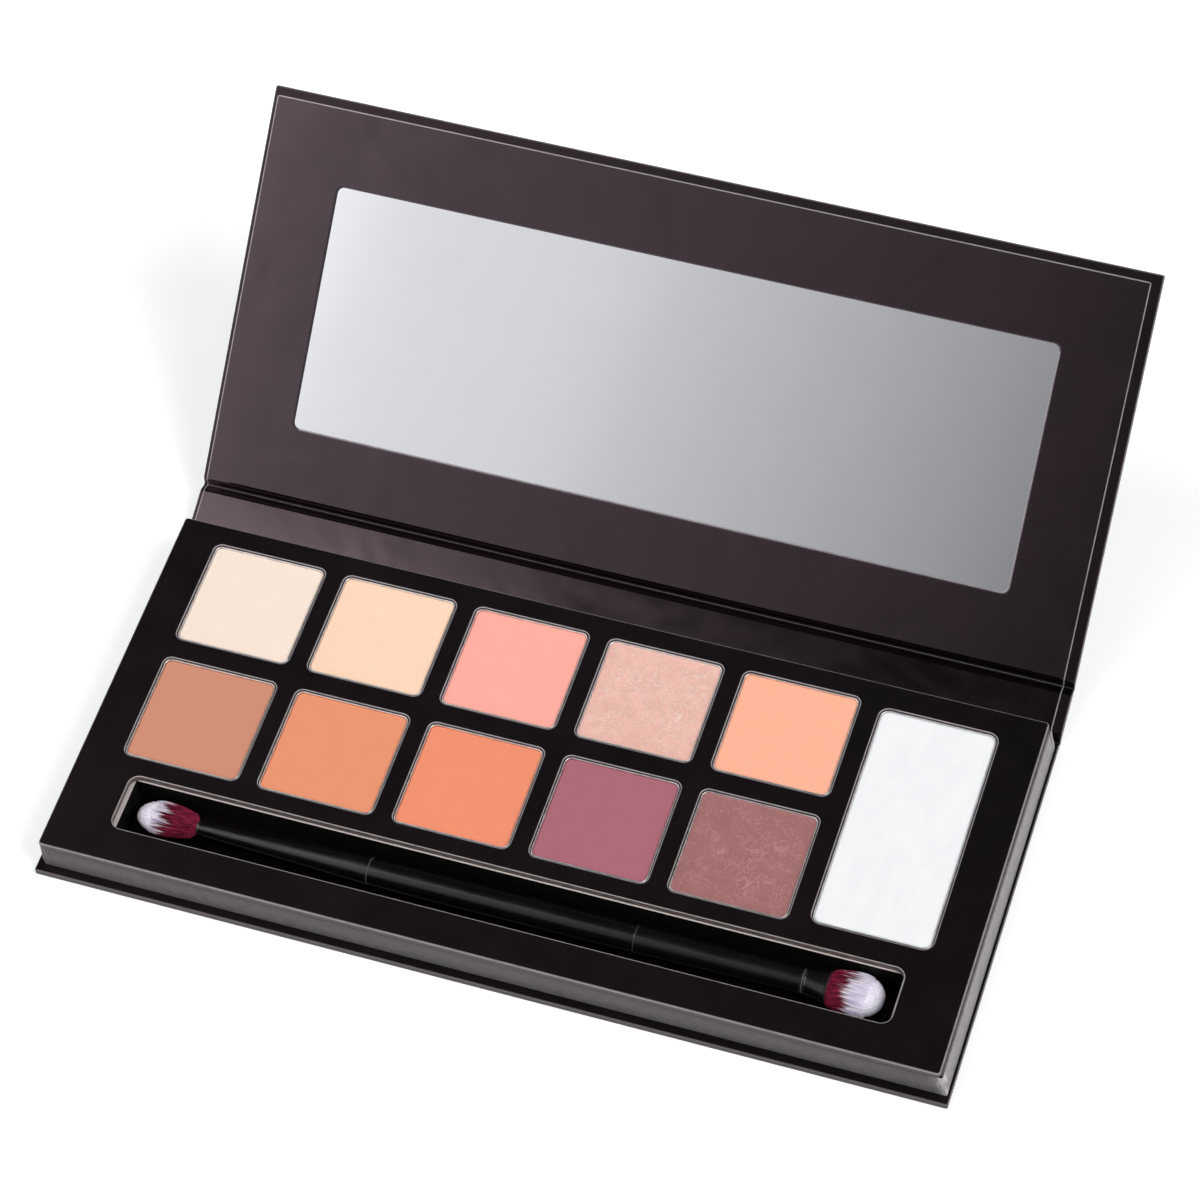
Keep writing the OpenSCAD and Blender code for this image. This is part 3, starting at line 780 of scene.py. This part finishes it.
def card_face():
    """Black paper over the card's top, round its edges and down to each cut window."""
    top, low = CARD[1].z, CARD[0].z
    # The rounded top edge and the window lips are marked paler: partly wear, partly a painted highlight. The
    # skirt below keeps only a little of it.
    skirt = [(g, z, 0.6 * w) for g, z, w in rounded(low, top, 0.34 * MM, 0.34 * MM, 0.1 * MM, 0.1)]
    skirt += [(-PAPER, low, 0.0), (-PAPER, top - PAPER, 0.0)]
    lip = edge_rows(top, ((-0.24, 0, 0.0), (-0.13, 0.01, 0.8), (-0.04, 0.04, 1.0), (0, 0.08, 1.0)))
    lip += [(0, top - PAPER, 1.0)]
    bm = new_bm()
    plate(bm, levels_of(card_outline(CARD), 0.8 * MM, skirt),
          [levels_of(rect, r, lip, -1) for rect, r, _ in windows()])
    settle(make("card_paper", bm, CARD_PAPER), "base", "tray_paper", "card_face")


def fuzz(points, z, size):
    """Points of a cut edge, a little uneven as a die leaves board."""
    moved = []
    for x, y in points:
        p = Vector((x * 900, y * 900, z * 2500))
        moved.append((x + size * noise.noise(p), y + size * noise.noise(p + Vector((7.3, 1.1, 4.2)))))
    return moved


def card_board():
    """Grey board of the card; its cut edges show in the windows."""
    low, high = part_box("top_card")
    steps = 5
    heights = [high.z - (high.z - low.z) * k / steps for k in range(steps + 1)]
    sizes = [0.0 if k in (0, steps) else 0.05 * MM for k in range(steps + 1)]
    bm = new_bm()
    holes = []
    for rect, r, cuts in windows():
        edge = ring(rect, r, -0.01 * MM, cuts=cuts)
        holes.append([(fuzz(edge, z, size), z, 0.0) for z, size in zip(heights, sizes)])
    outer = [(ring(card_outline((low, high)), 0.6 * MM), z, 0.0) for z in (high.z, low.z)]
    plate(bm, outer, holes)
    settle(make("card_board", bm, BOARD), "base", "grey_board", "top_card")


def wall_painted_light(down, right):
    """Painted highlight on the walls: paler towards the foot, and evenly paler on the right wall."""
    return 0.48 if right else 0.07 + 0.25 * down


def tray_walls():
    """Paper round the tray's walls, stepped back into a shadow groove under the card."""
    low, high = TRAY
    groove, depth = CARD[0].z, 0.55 * MM
    thick, soft, swell = 1.2 * MM, 0.16 * MM, 0.05 * MM
    outer = [(-depth, groove, 0.0), (-depth, high.z, 0.0)]
    outer += rounded(low.z, high.z, soft, soft)
    inner = [(0.0, groove, 0.0), (0.0, low.z, 0.0)]
    bm = new_bm()
    plate(bm, levels_of(rect_of(TRAY), 0.4 * MM, outer, cuts=(60, 26)),
          [levels_of(grown(rect_of(TRAY), -thick), 0.6 * MM, inner)])
    layer = wear_and_light_layer(bm)
    for v in bm.verts:
        if low.z + TINY < v.co.z < high.z + TINY:
            v.co.y += swell * noise.noise(Vector((v.co.x * 60, v.co.y * 60, v.co.z * 200)))
        down = max(0.0, 1 - (v.co.z - low.z) / (high.z - low.z))
        right = v.co.x > high.x - 0.7 * MM
        # Painted highlight: paler towards the foot and on the right wall.
        v[layer] = wall_painted_light(down, right)
        if right and v.co.z > high.z - TINY:
            v.co.x = max(v.co.x, high.x - soft)
        if right:
            v.co.x += WALL_FLARE * down
    settle(make("tray_wall_paper", bm, WALL_PAPER), "base", "tray_paper", "tray_wrap")


TUCK_R = 0.4 * MM
TUCK_BEFORE = 1.4 * MM
TUCK_LENGTH = 3.2 * MM
TUCK_LIFT = 0.10 * MM
TUCK_GRID = (26, 9)


def round_corner(s, out):
    """A point s past a corner and out from its walls, in the corner's own frame."""
    if abs(s) < TUCK_R:
        a = (s / TUCK_R + 1) * pi / 4
        r = TUCK_R + out
        return Vector((-TUCK_R + r * sin(a), TUCK_R - r * cos(a), 0))
    return Vector((s, -out, 0)) if s < 0 else Vector((out, s, 0))


def tuck_skin(bm, lift, corner, turn, seed, crumple_paleness):
    """The outside of a tuck, creased, or its plain inside where lift is negative."""
    low, high = TRAY[0].z + 0.05 * MM, CARD[0].z - 0.1 * MM
    columns, rows = TUCK_GRID
    right = corner.x > 0
    layer = wear_and_light_layer(bm)
    grid = []
    for j in range(rows + 1):
        h = j / rows
        line = []
        for i in range(columns + 1):
            t = i / columns
            ragged = 0.5 * MM * noise.noise(Vector((seed, 3.0 * h, 4.0 if t > 0.5 else 0.0)))
            s = -TUCK_BEFORE + TUCK_LENGTH * t + ragged * abs(2 * t - 1)
            border = min(t, 1 - t, h, 1 - h)
            crease = noise.noise(Vector((seed + 1200 * s, 1.4 * h, 2.0)))
            out = lift * max(0.15, min(1.0, border * 9))
            if lift > 0:
                out += 0.30 * MM * crease * min(1.0, border * 6)
            p = corner + turn @ round_corner(s, out)
            lean = WALL_FLARE * (1 - h) if right else 0.0
            v = bm.verts.new((p.x + lean, p.y, low + (high - low) * h))
            # Paler along the tuck's outline and its raised creases, laid over the walls' painted highlight.
            v[layer] = max(wall_painted_light(1 - h, right), crumple_paleness * max(1 - 8 * border, 0.8 + 1.2 * crease))
            line.append(v)
        grid.append(line)
    chain(bm, grid, closed=False)


def corner_tuck(name, *place):
    """Paper gathered round a corner of the tray, with a creased, uneven outline."""
    bm = new_bm()
    for lift in (TUCK_LIFT, -TUCK_LIFT):
        tuck_skin(bm, lift, *place)
    bmesh.ops.bridge_loops(bm, edges=[e for e in bm.edges if e.is_boundary])
    settle(make(name, bm, WALL_PAPER, crease=70, even=False), "base", "tray_paper")


def corner_tucks():
    x0, y0, x1, y1 = rect_of(TRAY)
    corners = ((x1, y0, 0), (x1, y1, 90), (x0, y1, 180), (x0, y0, 270))
    for i, (x, y, angle) in enumerate(corners):
        turn = Matrix.Rotation(radians(angle), 3, "Z")
        corner_tuck(f"tray_corner_{i + 1}", Vector((x, y, 0)), turn, 11.0 * (i + 1), 0.1 if i else 1.0)


card_face()
card_board()
tray_walls()
corner_tucks()


# ---- Pans, powders and cream ----

PAN_WALL = 0.3 * MM


def pan(name, node, radius):
    """A pressed tin pan with a rolled rim."""
    low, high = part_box(node)
    half = PAN_WALL / 2
    rim = [(-half * (1 - cos(a)), high.z - half * (1 - sin(a)), 0.0)
           for a in (pi * k / 6 for k in range(7))]
    outside = edge_rows(low.z, ((-0.6, 0, 0.0), (-0.2, -0.12, 0.0), (0, -0.5, 0.0)))
    inside = [(-PAN_WALL, low.z + 0.7 * MM, 0.0), (-PAN_WALL - 0.3 * MM, low.z + PAN_WALL, 0.0)]
    bm = new_bm()
    levels = levels_of(rect_of((low, high)), radius, outside + rim + inside, cuts=(3, 3))
    cap(bm, stack(bm, levels))
    settle(make(name, bm, TIN, crease=60), "base", "tin", node)


def stations(length, step, edge):
    """Grid lines along a side: close together near both ends, then evenly spaced."""
    near = [edge * t for t in (0, 0.1, 0.22, 0.36, 0.52, 0.72, 1.0)]
    count = max(2, round((length - 2 * edge) / step))
    middle = [edge + (length - 2 * edge) * k / count for k in range(1, count)]
    return near + middle + [length - e for e in reversed(near)]


def rounded_place(x, y, w, d, r):
    """Moves a point of a w by d rectangle so that the rectangle's corners are round."""
    cx = r if x < r else (w - r if x > w - r else None)
    cy = r if y < r else (d - r if y > d - r else None)
    if cx is None or cy is None:
        return x, y
    dx, dy = x - cx, y - cy
    length = hypot(dx, dy)
    if length < TINY:
        return x, y
    scale = max(abs(dx), abs(dy)) / length
    return cx + dx * scale, cy + dy * scale


def filling(name, node, radius, material, slot, relief, step, edge, edge_fall):
    """What fills a pan: a grid shaped by relief(u, v, x, y) -> (height, wear_and_painted_light).
    u and v run from -1 to 1 across it, and x and y are metres from its corner."""
    low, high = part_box(node)
    w, d = high.x - low.x, high.y - low.y
    xs, ys = stations(w, step, edge), stations(d, step, edge)
    bm = new_bm()
    layer = wear_and_light_layer(bm)
    rows = []
    for y in ys:
        row = []
        for x in xs:
            px, py = rounded_place(x, y, w, d, radius)
            rim = min(x, w - x, y, d - y)
            t = min(1.0, rim / edge)
            fall = edge_fall * (1 - sqrt(max(0.0, 1 - (1 - t) ** 2)))
            height, wear_and_painted_light = relief(x / w * 2 - 1, y / d * 2 - 1, px, py)
            v = bm.verts.new((low.x + px, low.y + py, high.z - fall + height * t))
            # The band next to the rim is marked too. Matt powder and cream are painted darker there as
            # painted shade, and shimmer powder paler as a painted highlight.
            v[layer] = max(wear_and_painted_light * t, 1 - t if t < 0.6 else 0.0)
            row.append(v)
        rows.append(row)
    chain(bm, rows, closed=False)
    border = rows[0] + [r[-1] for r in rows[1:]] + rows[-1][-2::-1] + [r[0] for r in rows[-2:0:-1]]
    foot = add_points(bm, [(v.co.x, v.co.y, low.z) for v in border])
    chain(bm, [border, foot])
    bm.faces.new(foot)
    settle(make(name, bm, material, crease=60, even=False), "base", slot, node)


def pressed(seed):
    """Relief of matt powder: a slight crown with faint unevenness."""
    def relief(u, v, x, y):
        crown = 0.05 * MM * (1 - u ** 4) * (1 - v ** 4)
        p = Vector((x * 320, y * 320, seed))
        return crown + 0.012 * MM * noise.noise(p) - 0.05 * MM, 0.0
    return relief


def embossed(seed, line, reach):
    """Relief of shimmer powder: wandering raised lines, fading towards the border."""
    ridge = 0.08 * MM

    def relief(u, v, x, y):
        p = Vector((x, y, 0)) * (1 / line)
        p.z = seed
        warp = Vector((noise.noise(p * 0.6), noise.noise(p * 0.6 + Vector((5, 9, 2))), 0))
        fold = 1 - min(1.0, abs(noise.noise(p + 1.3 * warp)) * 4.5)
        mask = max(0.0, 1 - max(abs(u), abs(v)) ** 4 / reach)
        patch = min(1.0, max(0.0, 0.65 + 1.4 * noise.noise(p * 0.35 + Vector((3, 4, 1)))))
        lifted = max(0.0, fold) ** 2 * mask * patch
        grain = 0.012 * MM * noise.noise(p * 5)
        # lifted also paints the raised lines paler, as a painted highlight.
        return ridge * lifted + grain - 0.07 * MM, lifted
    return relief


MATT = {
    1: ("ivory", (249, 229, 213)), 2: ("peach_light", (255, 216, 188)), 3: ("pink", (255, 174, 160)),
    5: ("apricot", (255, 182, 152)), 6: ("rose_tan", (209, 143, 117)), 7: ("caramel", (236, 150, 114)),
    8: ("orange", (242, 146, 112)), 9: ("plum", (172, 105, 117)),
}
# Each entry: tint, colour, the pale colour of the painted glints, share of glinting flakes, relief.
SHIMMER = {
    4: ("champagne_shimmer", (253, 198, 183), (255, 236, 226), 0.10, embossed(4.0, 1.3 * MM, 1.2)),
    10: ("mauve_shimmer", (174, 118, 117), (216, 162, 154), 0.05, embossed(9.0, 1.5 * MM, 0.9)),
}
PAN_R, POWDER_EDGE, POWDER_FALL = 1.7 * MM, 0.45 * MM, 0.22 * MM
CREAM_R, CREAM_EDGE, CREAM_FALL = 2.2 * MM, 0.8 * MM, 0.3 * MM


def powder(i, node):
    """A pressed powder: matt, or shimmer with embossed lines."""
    if i in MATT:
        tint, colour = MATT[i]
        material = pressed_powder(f"powder_{tint}", rgb(*colour))
        relief, step = pressed(float(i)), 0.8 * MM
    else:
        tint, colour, painted_glint_colour, glint, relief = SHIMMER[i]
        material = shimmer_powder(f"powder_{tint}", rgb(*colour), rgb(*painted_glint_colour), glint)
        step = 0.17 * MM
    filling(f"powder_{i}_{tint}", node, PAN_R - PAN_WALL, material, f"powder_{tint}", relief,
            step, POWDER_EDGE, POWDER_FALL)


def poured(_u, _v, x, y):
    """Relief of the cream: low rolls left by smoothing it, along its length."""
    p = Vector((x * 140, y * 60, 2.0))
    return 0.05 * MM * noise.noise(p) + 0.02 * MM * noise.noise(p * 3) - 0.05 * MM, 0.0


for i, (node, shadow) in enumerate(zip(PANS, SHADOWS), 1):
    pan(f"tin_{node}", node, PAN_R)
    powder(i, shadow)
pan("tin_cream_pan", "cream_pan", CREAM_R)
filling("cream_fill", "cream", CREAM_R - PAN_WALL, CREAM, "cream", poured,
        0.7 * MM, CREAM_EDGE, CREAM_FALL)


# ---- Brush ----

HANDLE_BOX, SMALL_FERRULE, LARGE_FERRULE, SMALL_HEAD, LARGE_HEAD = (
    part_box(node) for node in ("brush_handle", "small_ferrule", "large_ferrule", "small_bristles",
                              "large_bristles"))
AXIS_Y = (HANDLE_BOX[0].y + HANDLE_BOX[1].y) / 2
AXIS_Z = (HANDLE_BOX[0].z + HANDLE_BOX[1].z) / 2
AROUND = 48


def turned(name, outline, material, slot, node):
    """A form turned about the brush's axis; outline rows are (x, width, height, wear_and_painted_light)."""
    bm = new_bm()
    rings = []
    for x, width, height, wear_and_painted_light in outline:
        points = []
        for k in range(AROUND):
            a = 2 * pi * k / AROUND
            points.append((x, AXIS_Y + width / 2 * cos(a), AXIS_Z + height / 2 * sin(a)))
        rings.append(add_points(bm, points, wear_and_painted_light))
    cap(bm, chain(bm, rings))
    settle(make(name, bm, material, crease=50), "brush", slot, node)


def round_rows(rows):
    return [(x, 2 * r, 2 * r, wear_and_painted_light) for x, r, wear_and_painted_light in rows]


def rows_by(x, r, steps):
    """Rows of a round outline, from (along, out, wear_and_painted_light) steps in millimetres."""
    return [(x + along * MM, r + out * MM, wear_and_painted_light) for along, out, wear_and_painted_light in steps]


def brush_body():
    start, end = SMALL_FERRULE[1].x, LARGE_FERRULE[0].x
    length = end - start
    r = (HANDLE_BOX[1].z - HANDLE_BOX[0].z) / 2
    lip, hollow = 0.18 * MM, 2.2 * MM
    rows = [(start, hollow, 0.0)] + rows_by(start, r, ((0, -0.30, 0.0), (0.06, -0.20, 0.5)))
    for k in range(21):
        t = k / 20
        barrel = 1 - (abs(2 * t - 1)) ** 3
        rows.append((start + lip + (length - 2 * lip) * t, r - 0.15 * MM * (1 - barrel), 0.0))
    rows += rows_by(end, r, ((-0.06, -0.20, 0.5), (0, -0.30, 0.0))) + [(end, hollow, 0.0)]
    turned("handle", round_rows(rows), HANDLE, "handle_lacquer", "brush_handle")


def small_ferrule():
    x0, x1 = SMALL_FERRULE[0].x, SMALL_FERRULE[1].x
    mouth = 1.5 * MM
    wide = (SMALL_FERRULE[1].z - SMALL_FERRULE[0].z) / 2
    rows = rows_by(x0, mouth, ((0.3, -0.3, 0.0), (0, -0.25, 0.3), (0, -0.1, 0.8), (0.12, 0, 0.4),
                               (0.5, 0, 0.0)))
    for k in range(1, 25):
        t = k / 24
        x = x0 + 0.5 * MM + (x1 - x0 - 0.9 * MM) * t
        rows.append((x, mouth + (wide - mouth) * (0.85 * t + 0.15 * t * t), 0.0))
    rows += rows_by(x1, wide, ((-0.3, -0.02, 0.0), (-0.08, 0, 0.7), (0, -0.08, 0.7))) + [(x1, 2.0 * MM, 0.0)]
    turned("ferrule_small", round_rows(rows), FERRULE, "ferrule_lacquer", "small_ferrule")


def large_ferrule():
    x0, x1 = LARGE_FERRULE[0].x, LARGE_FERRULE[1].x
    wide = LARGE_FERRULE[1].z - LARGE_FERRULE[0].z
    mouth_w = LARGE_FERRULE[1].y - LARGE_FERRULE[0].y
    crimp, crimp_len = 5.2 * MM, 5.3 * MM
    mouth_t = 5.3 * MM
    ring_x = x1 - crimp_len
    rows = [(x0, 4.0 * MM, 4.0 * MM, 0.0), (x0, wide - 0.16 * MM, wide - 0.16 * MM, 0.7),
            (x0 + 0.08 * MM, wide, wide, 0.7), (x0 + 0.3 * MM, wide - 0.04 * MM, wide - 0.04 * MM, 0.0)]
    for k in range(1, 25):
        t = k / 24
        size = wide + (crimp - wide) * t
        rows.append((x0 + 0.3 * MM + (ring_x - x0 - 0.7 * MM) * t, size, size, 0.0))
    for dx, dr, wear_and_painted_light in ((-0.32, -0.10, 0.3), (-0.22, -0.16, 0.0), (-0.12, 0.02, 0.6), (0.0, 0.10, 1.0),
                         (0.12, 0.02, 0.6), (0.22, -0.16, 0.0), (0.34, -0.04, 0.2)):
        rows.append((ring_x + dx * MM, crimp + 2 * dr * MM, crimp + 2 * dr * MM, wear_and_painted_light))
    for k in range(1, 15):
        t = k / 14
        flare = t ** 1.2
        rows.append((ring_x + 0.5 * MM + (crimp_len - 0.62 * MM) * t, crimp + (mouth_w - crimp) * flare,
                     crimp + (mouth_t - crimp) * flare, 0.0))
    for back, less, wear_and_painted_light in ((0.0, 0.06, 0.8), (0.0, 0.5, 0.5), (0.4, 0.6, 0.0)):
        rows.append((x1 - back * MM, mouth_w - less * MM, mouth_t - less * MM, wear_and_painted_light))
    turned("ferrule_large", rows, FERRULE, "ferrule_lacquer", "large_ferrule")


brush_body()
small_ferrule()
large_ferrule()

TIP_SHARE = 0.44
FLARE = 0.45
CORE_SHARE = 0.93
CORE_END = 0.97
CORE_GRID = (40, 22)
BRISTLE_STEPS = 8
BRISTLE_CORNERS = (0, 2.094, 4.189)


def belly(t, root, full):
    """Half width of the bundle at a share t of its length: a quick flare, then fullest at the belly."""
    flare = root + (full - root) * FLARE * min(1.0, t / 0.06)
    s = sin(pi / 2 * min(1.0, t / (1 - TIP_SHARE)))
    return flare + (full - flare) * s


def head_shape(t, root, full):
    """Half width of a bristle head: the belly, closed by a dome."""
    beyond = max(0.0, (t - 1 + TIP_SHARE) / TIP_SHARE)
    return belly(t, root, full) * sqrt(max(0.0, 1 - beyond ** 2))


def core(bm, root_x, length, size, root, seed):
    """The soft core that closes the gaps between a head's bristles."""
    around, along = CORE_GRID
    half_way = 0.2929
    rings = []
    for j in range(along + 1):
        share = 1 - cos(pi / 2 * j / along) if j > along / 2 else half_way * j / (along / 2)
        t = CORE_END * share
        ry, rz = (CORE_SHARE * head_shape(t, root[i], size[i] / 2) for i in range(2))
        points = []
        for k in range(around):
            a = 2 * pi * k / around
            lump = 1 + 0.03 * noise.noise(Vector((4 * cos(a), 4 * sin(a), 3 * t + seed)))
            y, z = AXIS_Y + ry * lump * cos(a), AXIS_Z + rz * lump * sin(a)
            points.append((root_x + t * length, y, z))
        rings.append(add_points(bm, points))
    cap(bm, chain(bm, rings))


def bristle(bm, rng, root_x, length, size, root):
    """One tapered bristle, from the ferrule to the head's dome."""
    share = sqrt(rng.uniform(0.0, 1.0)) if rng.random() < 0.45 else rng.uniform(0.9, 1.0)
    a = rng.uniform(0, 2 * pi)
    dome = sqrt(max(0.0, 1 - share * share))
    end = (1 - TIP_SHARE) + TIP_SHARE * dome + rng.uniform(-0.05, 0.0) * (1.2 - dome)
    splay = rng.uniform(-0.05, 0.05)
    thick = rng.uniform(0.05, 0.085) * MM
    rows = []
    for j in range(BRISTLE_STEPS + 1):
        t = end * (j / BRISTLE_STEPS) ** 1.4
        ry, rz = (share * belly(t, root[i], size[i] / 2) for i in range(2))
        b = a + splay * t
        centre = Vector((root_x + t * length, AXIS_Y + ry * cos(b), AXIS_Z + rz * sin(b)))
        r = thick * (1 - 0.75 * (j / BRISTLE_STEPS) ** 3)
        rows.append(add_points(bm, [centre + Vector((0, r * cos(c), r * sin(c)))
                                    for c in BRISTLE_CORNERS]))
    cap(bm, chain(bm, rows))


def bristle_head(end, root_x, tip_x, size, root, seed, change):
    """A soft core with a coat of bristles, dyed up to a share of their length."""
    rng = random.Random(seed)
    bm = new_bm()
    core(bm, root_x, tip_x - root_x, size, root, seed)
    for _ in range(1500):
        bristle(bm, rng, root_x, tip_x - root_x, size, root)
    material = hair(f"bristle_{end}", root_x, tip_x, change)
    obj = make(f"bristles_{end}", bm, material, crease=70, even=False)
    settle(obj, "brush", "bristle", f"{end}_bristles")


bristle_head("small", SMALL_FERRULE[0].x, SMALL_HEAD[0].x,
             (8.3 * MM, 5.1 * MM), (1.25 * MM, 1.25 * MM), 3, 0.55)
bristle_head("large", LARGE_FERRULE[1].x, LARGE_HEAD[1].x,
             (10.2 * MM, 6.9 * MM), (3.3 * MM, 2.4 * MM), 5, 0.37)


# ---- CAD nodes that stay: inner boards, discs and tape ----

KEPT = {
    BOARD: ("base_board", "spine_board", "lid_board", "tray_wall_rear", "tray_wall_left", "tray_wall_right"),
    CHANNEL: ("channel_divider", "channel_end_left", "channel_end_right", "tray_wall_front", "pan_bed"),
    LINING: ("base_lining",),
    STEEL: ("keeper_discs", "lid_magnets"),
    TAPE: ("mirror_adhesive",),
}
for material, nodes in KEPT.items():
    for node in nodes:
        mesh = frame["nodes"][node].data
        mesh.materials.clear()
        mesh.materials.append(material)


# ---- Studio ----

STUDIO_WHITE = (0.97, 0.98, 1.0, 1)
TENT = 0.55
OVERHEAD = 0.42
# Where the tent is dark, as seen from the palette, and how much light is left there
DARK_SIDE = (-0.21, 0.58, 0.79)
DARK_SHARE = 0.02
SOFTBOX_SIZE = (2.4, 1.5)
SOFTBOX_AWAY = 1.1
# Distance to the left of the softbox's middle, and its level there
SOFTBOX_LEVELS = ((-1.2, 0.02), (-0.42, 0.02), (-0.26, 0.14), (-0.18, 0.31), (0.0, 0.64), (0.065, 0.79),
                  (0.12, 0.84), (0.17, 1.0), (0.26, 1.7), (0.36, 2.8), (0.7, 3.5), (1.2, 3.5))


def floor():
    """A white sheet, lit a little from below."""
    f = Finish("studio_floor", Roughness=0.85, Emission_Color=STUDIO_WHITE, Emission_Strength=0.42)
    f.set("Base Color", f.mix(f.noise(0.4), (0.84, 0.84, 0.84, 1), (0.86, 0.86, 0.86, 1)))
    bpy.ops.mesh.primitive_plane_add(size=12.0, location=(0, 0, -0.02 * MM))
    obj = bpy.context.object
    obj.name = "studio_floor"
    obj.data.materials.append(f.mat)


def world():
    """A white tent, dimmer overhead and dark where the tray's face would mirror it."""
    tent = bpy.data.worlds.new("studio")
    bpy.context.scene.world = tent
    tent.use_nodes = True
    n = Nodes(tent.node_tree)
    where = n.add("TexCoord").outputs["Generated"]
    up = n.add("SeparateXYZ", where).outputs["Z"]
    facing = n.add("VectorMath", where, DARK_SIDE, operation="DOT_PRODUCT").outputs["Value"]
    wall = n.spread(up, 0.25, 0.95, TENT, OVERHEAD)
    level = n.maths("MULTIPLY", wall, n.spread(facing, 0.42, 0.74, 1.0, DARK_SHARE))
    n.fill_in(n.tree.nodes["Background"], Strength=level, Color=STUDIO_WHITE)


def softbox_light():
    """A glow that varies across the card, seen from its front only."""
    mat = bpy.data.materials.new("softbox")
    mat.use_nodes = True
    n = Nodes(mat.node_tree)
    n.tree.nodes.clear()
    side = n.add("SeparateXYZ", n.add("TexCoord").outputs["Object"]).outputs["X"]
    level = n.add("FloatCurve")
    curve = level.mapping.curves[0]
    across = [(left / SOFTBOX_SIZE[0] + 0.5, strength) for left, strength in SOFTBOX_LEVELS]
    for point, location in zip(curve.points, (across[0], across[-1])):
        point.location = location
    for location in across[1:-1]:
        curve.points.new(*location)
    level.mapping.update()
    n.put(level.inputs["Value"], n.maths("ADD", side, 0.5))
    glow = n.add("Emission", (0.975, 0.98, 1.0, 1), level.outputs["Value"])
    behind = n.add("NewGeometry").outputs["Backfacing"]
    either = n.add("MixShader", behind, glow.outputs[0], n.add("BsdfDiffuse").outputs[0])
    n.add("OutputMaterial", either.outputs[0])
    return mat


def softbox():
    """A broad soft light before the lid, bright at its left and dim at its right."""
    centre = ON_LID @ ((MIRROR[0] + MIRROR[1]) / 2)
    towards = Vector((-0.207, -0.729, 0.652))
    bpy.ops.mesh.primitive_plane_add(size=1, location=centre + SOFTBOX_AWAY * towards)
    obj = bpy.context.object
    obj.name = "softbox"
    obj.scale = (*SOFTBOX_SIZE, 1)
    obj.rotation_euler = (-towards).to_track_quat("Z", "Y").to_euler()
    obj.visible_camera = False
    obj.data.materials.append(softbox_light())


def side_light(name, side, power):
    """A square soft light, high at one side and aimed at the palette."""
    place = Vector((side * 1.25, -0.25, 1.25))
    light = bpy.data.lights.new(name, "AREA")
    light.size = 1.2
    light.energy = power
    obj = bpy.data.objects.new(name, light)
    bpy.context.scene.collection.objects.link(obj)
    obj.location = place
    obj.rotation_euler = (-place).to_track_quat("-Z", "Y").to_euler()


def camera():
    """Looks down at the palette from its front right, a little rolled, with a long lens."""
    turn, rise, roll = radians(21.83), radians(55.27), radians(-4.87)
    target, distance = Vector((-6.3, 55.2, 0)) * MM, 976.2 * MM
    back = Vector((sin(turn) * cos(rise), -cos(turn) * cos(rise), sin(rise)))
    data = bpy.data.cameras.new("camera")
    data.sensor_width = 36.0
    data.lens = 131.3
    data.clip_start, data.clip_end = 0.05, 20.0
    obj = bpy.data.objects.new("camera", data)
    bpy.context.scene.collection.objects.link(obj)
    look = back.to_track_quat("Z", "Y").to_matrix().to_4x4()
    obj.matrix_world = Matrix.Translation(target + back * distance) @ look @ Matrix.Rotation(roll, 4, "Z")
    bpy.context.scene.camera = obj


floor()
world()
softbox()
side_light("light_left", -1, 24)
side_light("light_right", 1, 26)
camera()
bpy.context.scene.view_settings.view_transform = "Standard"
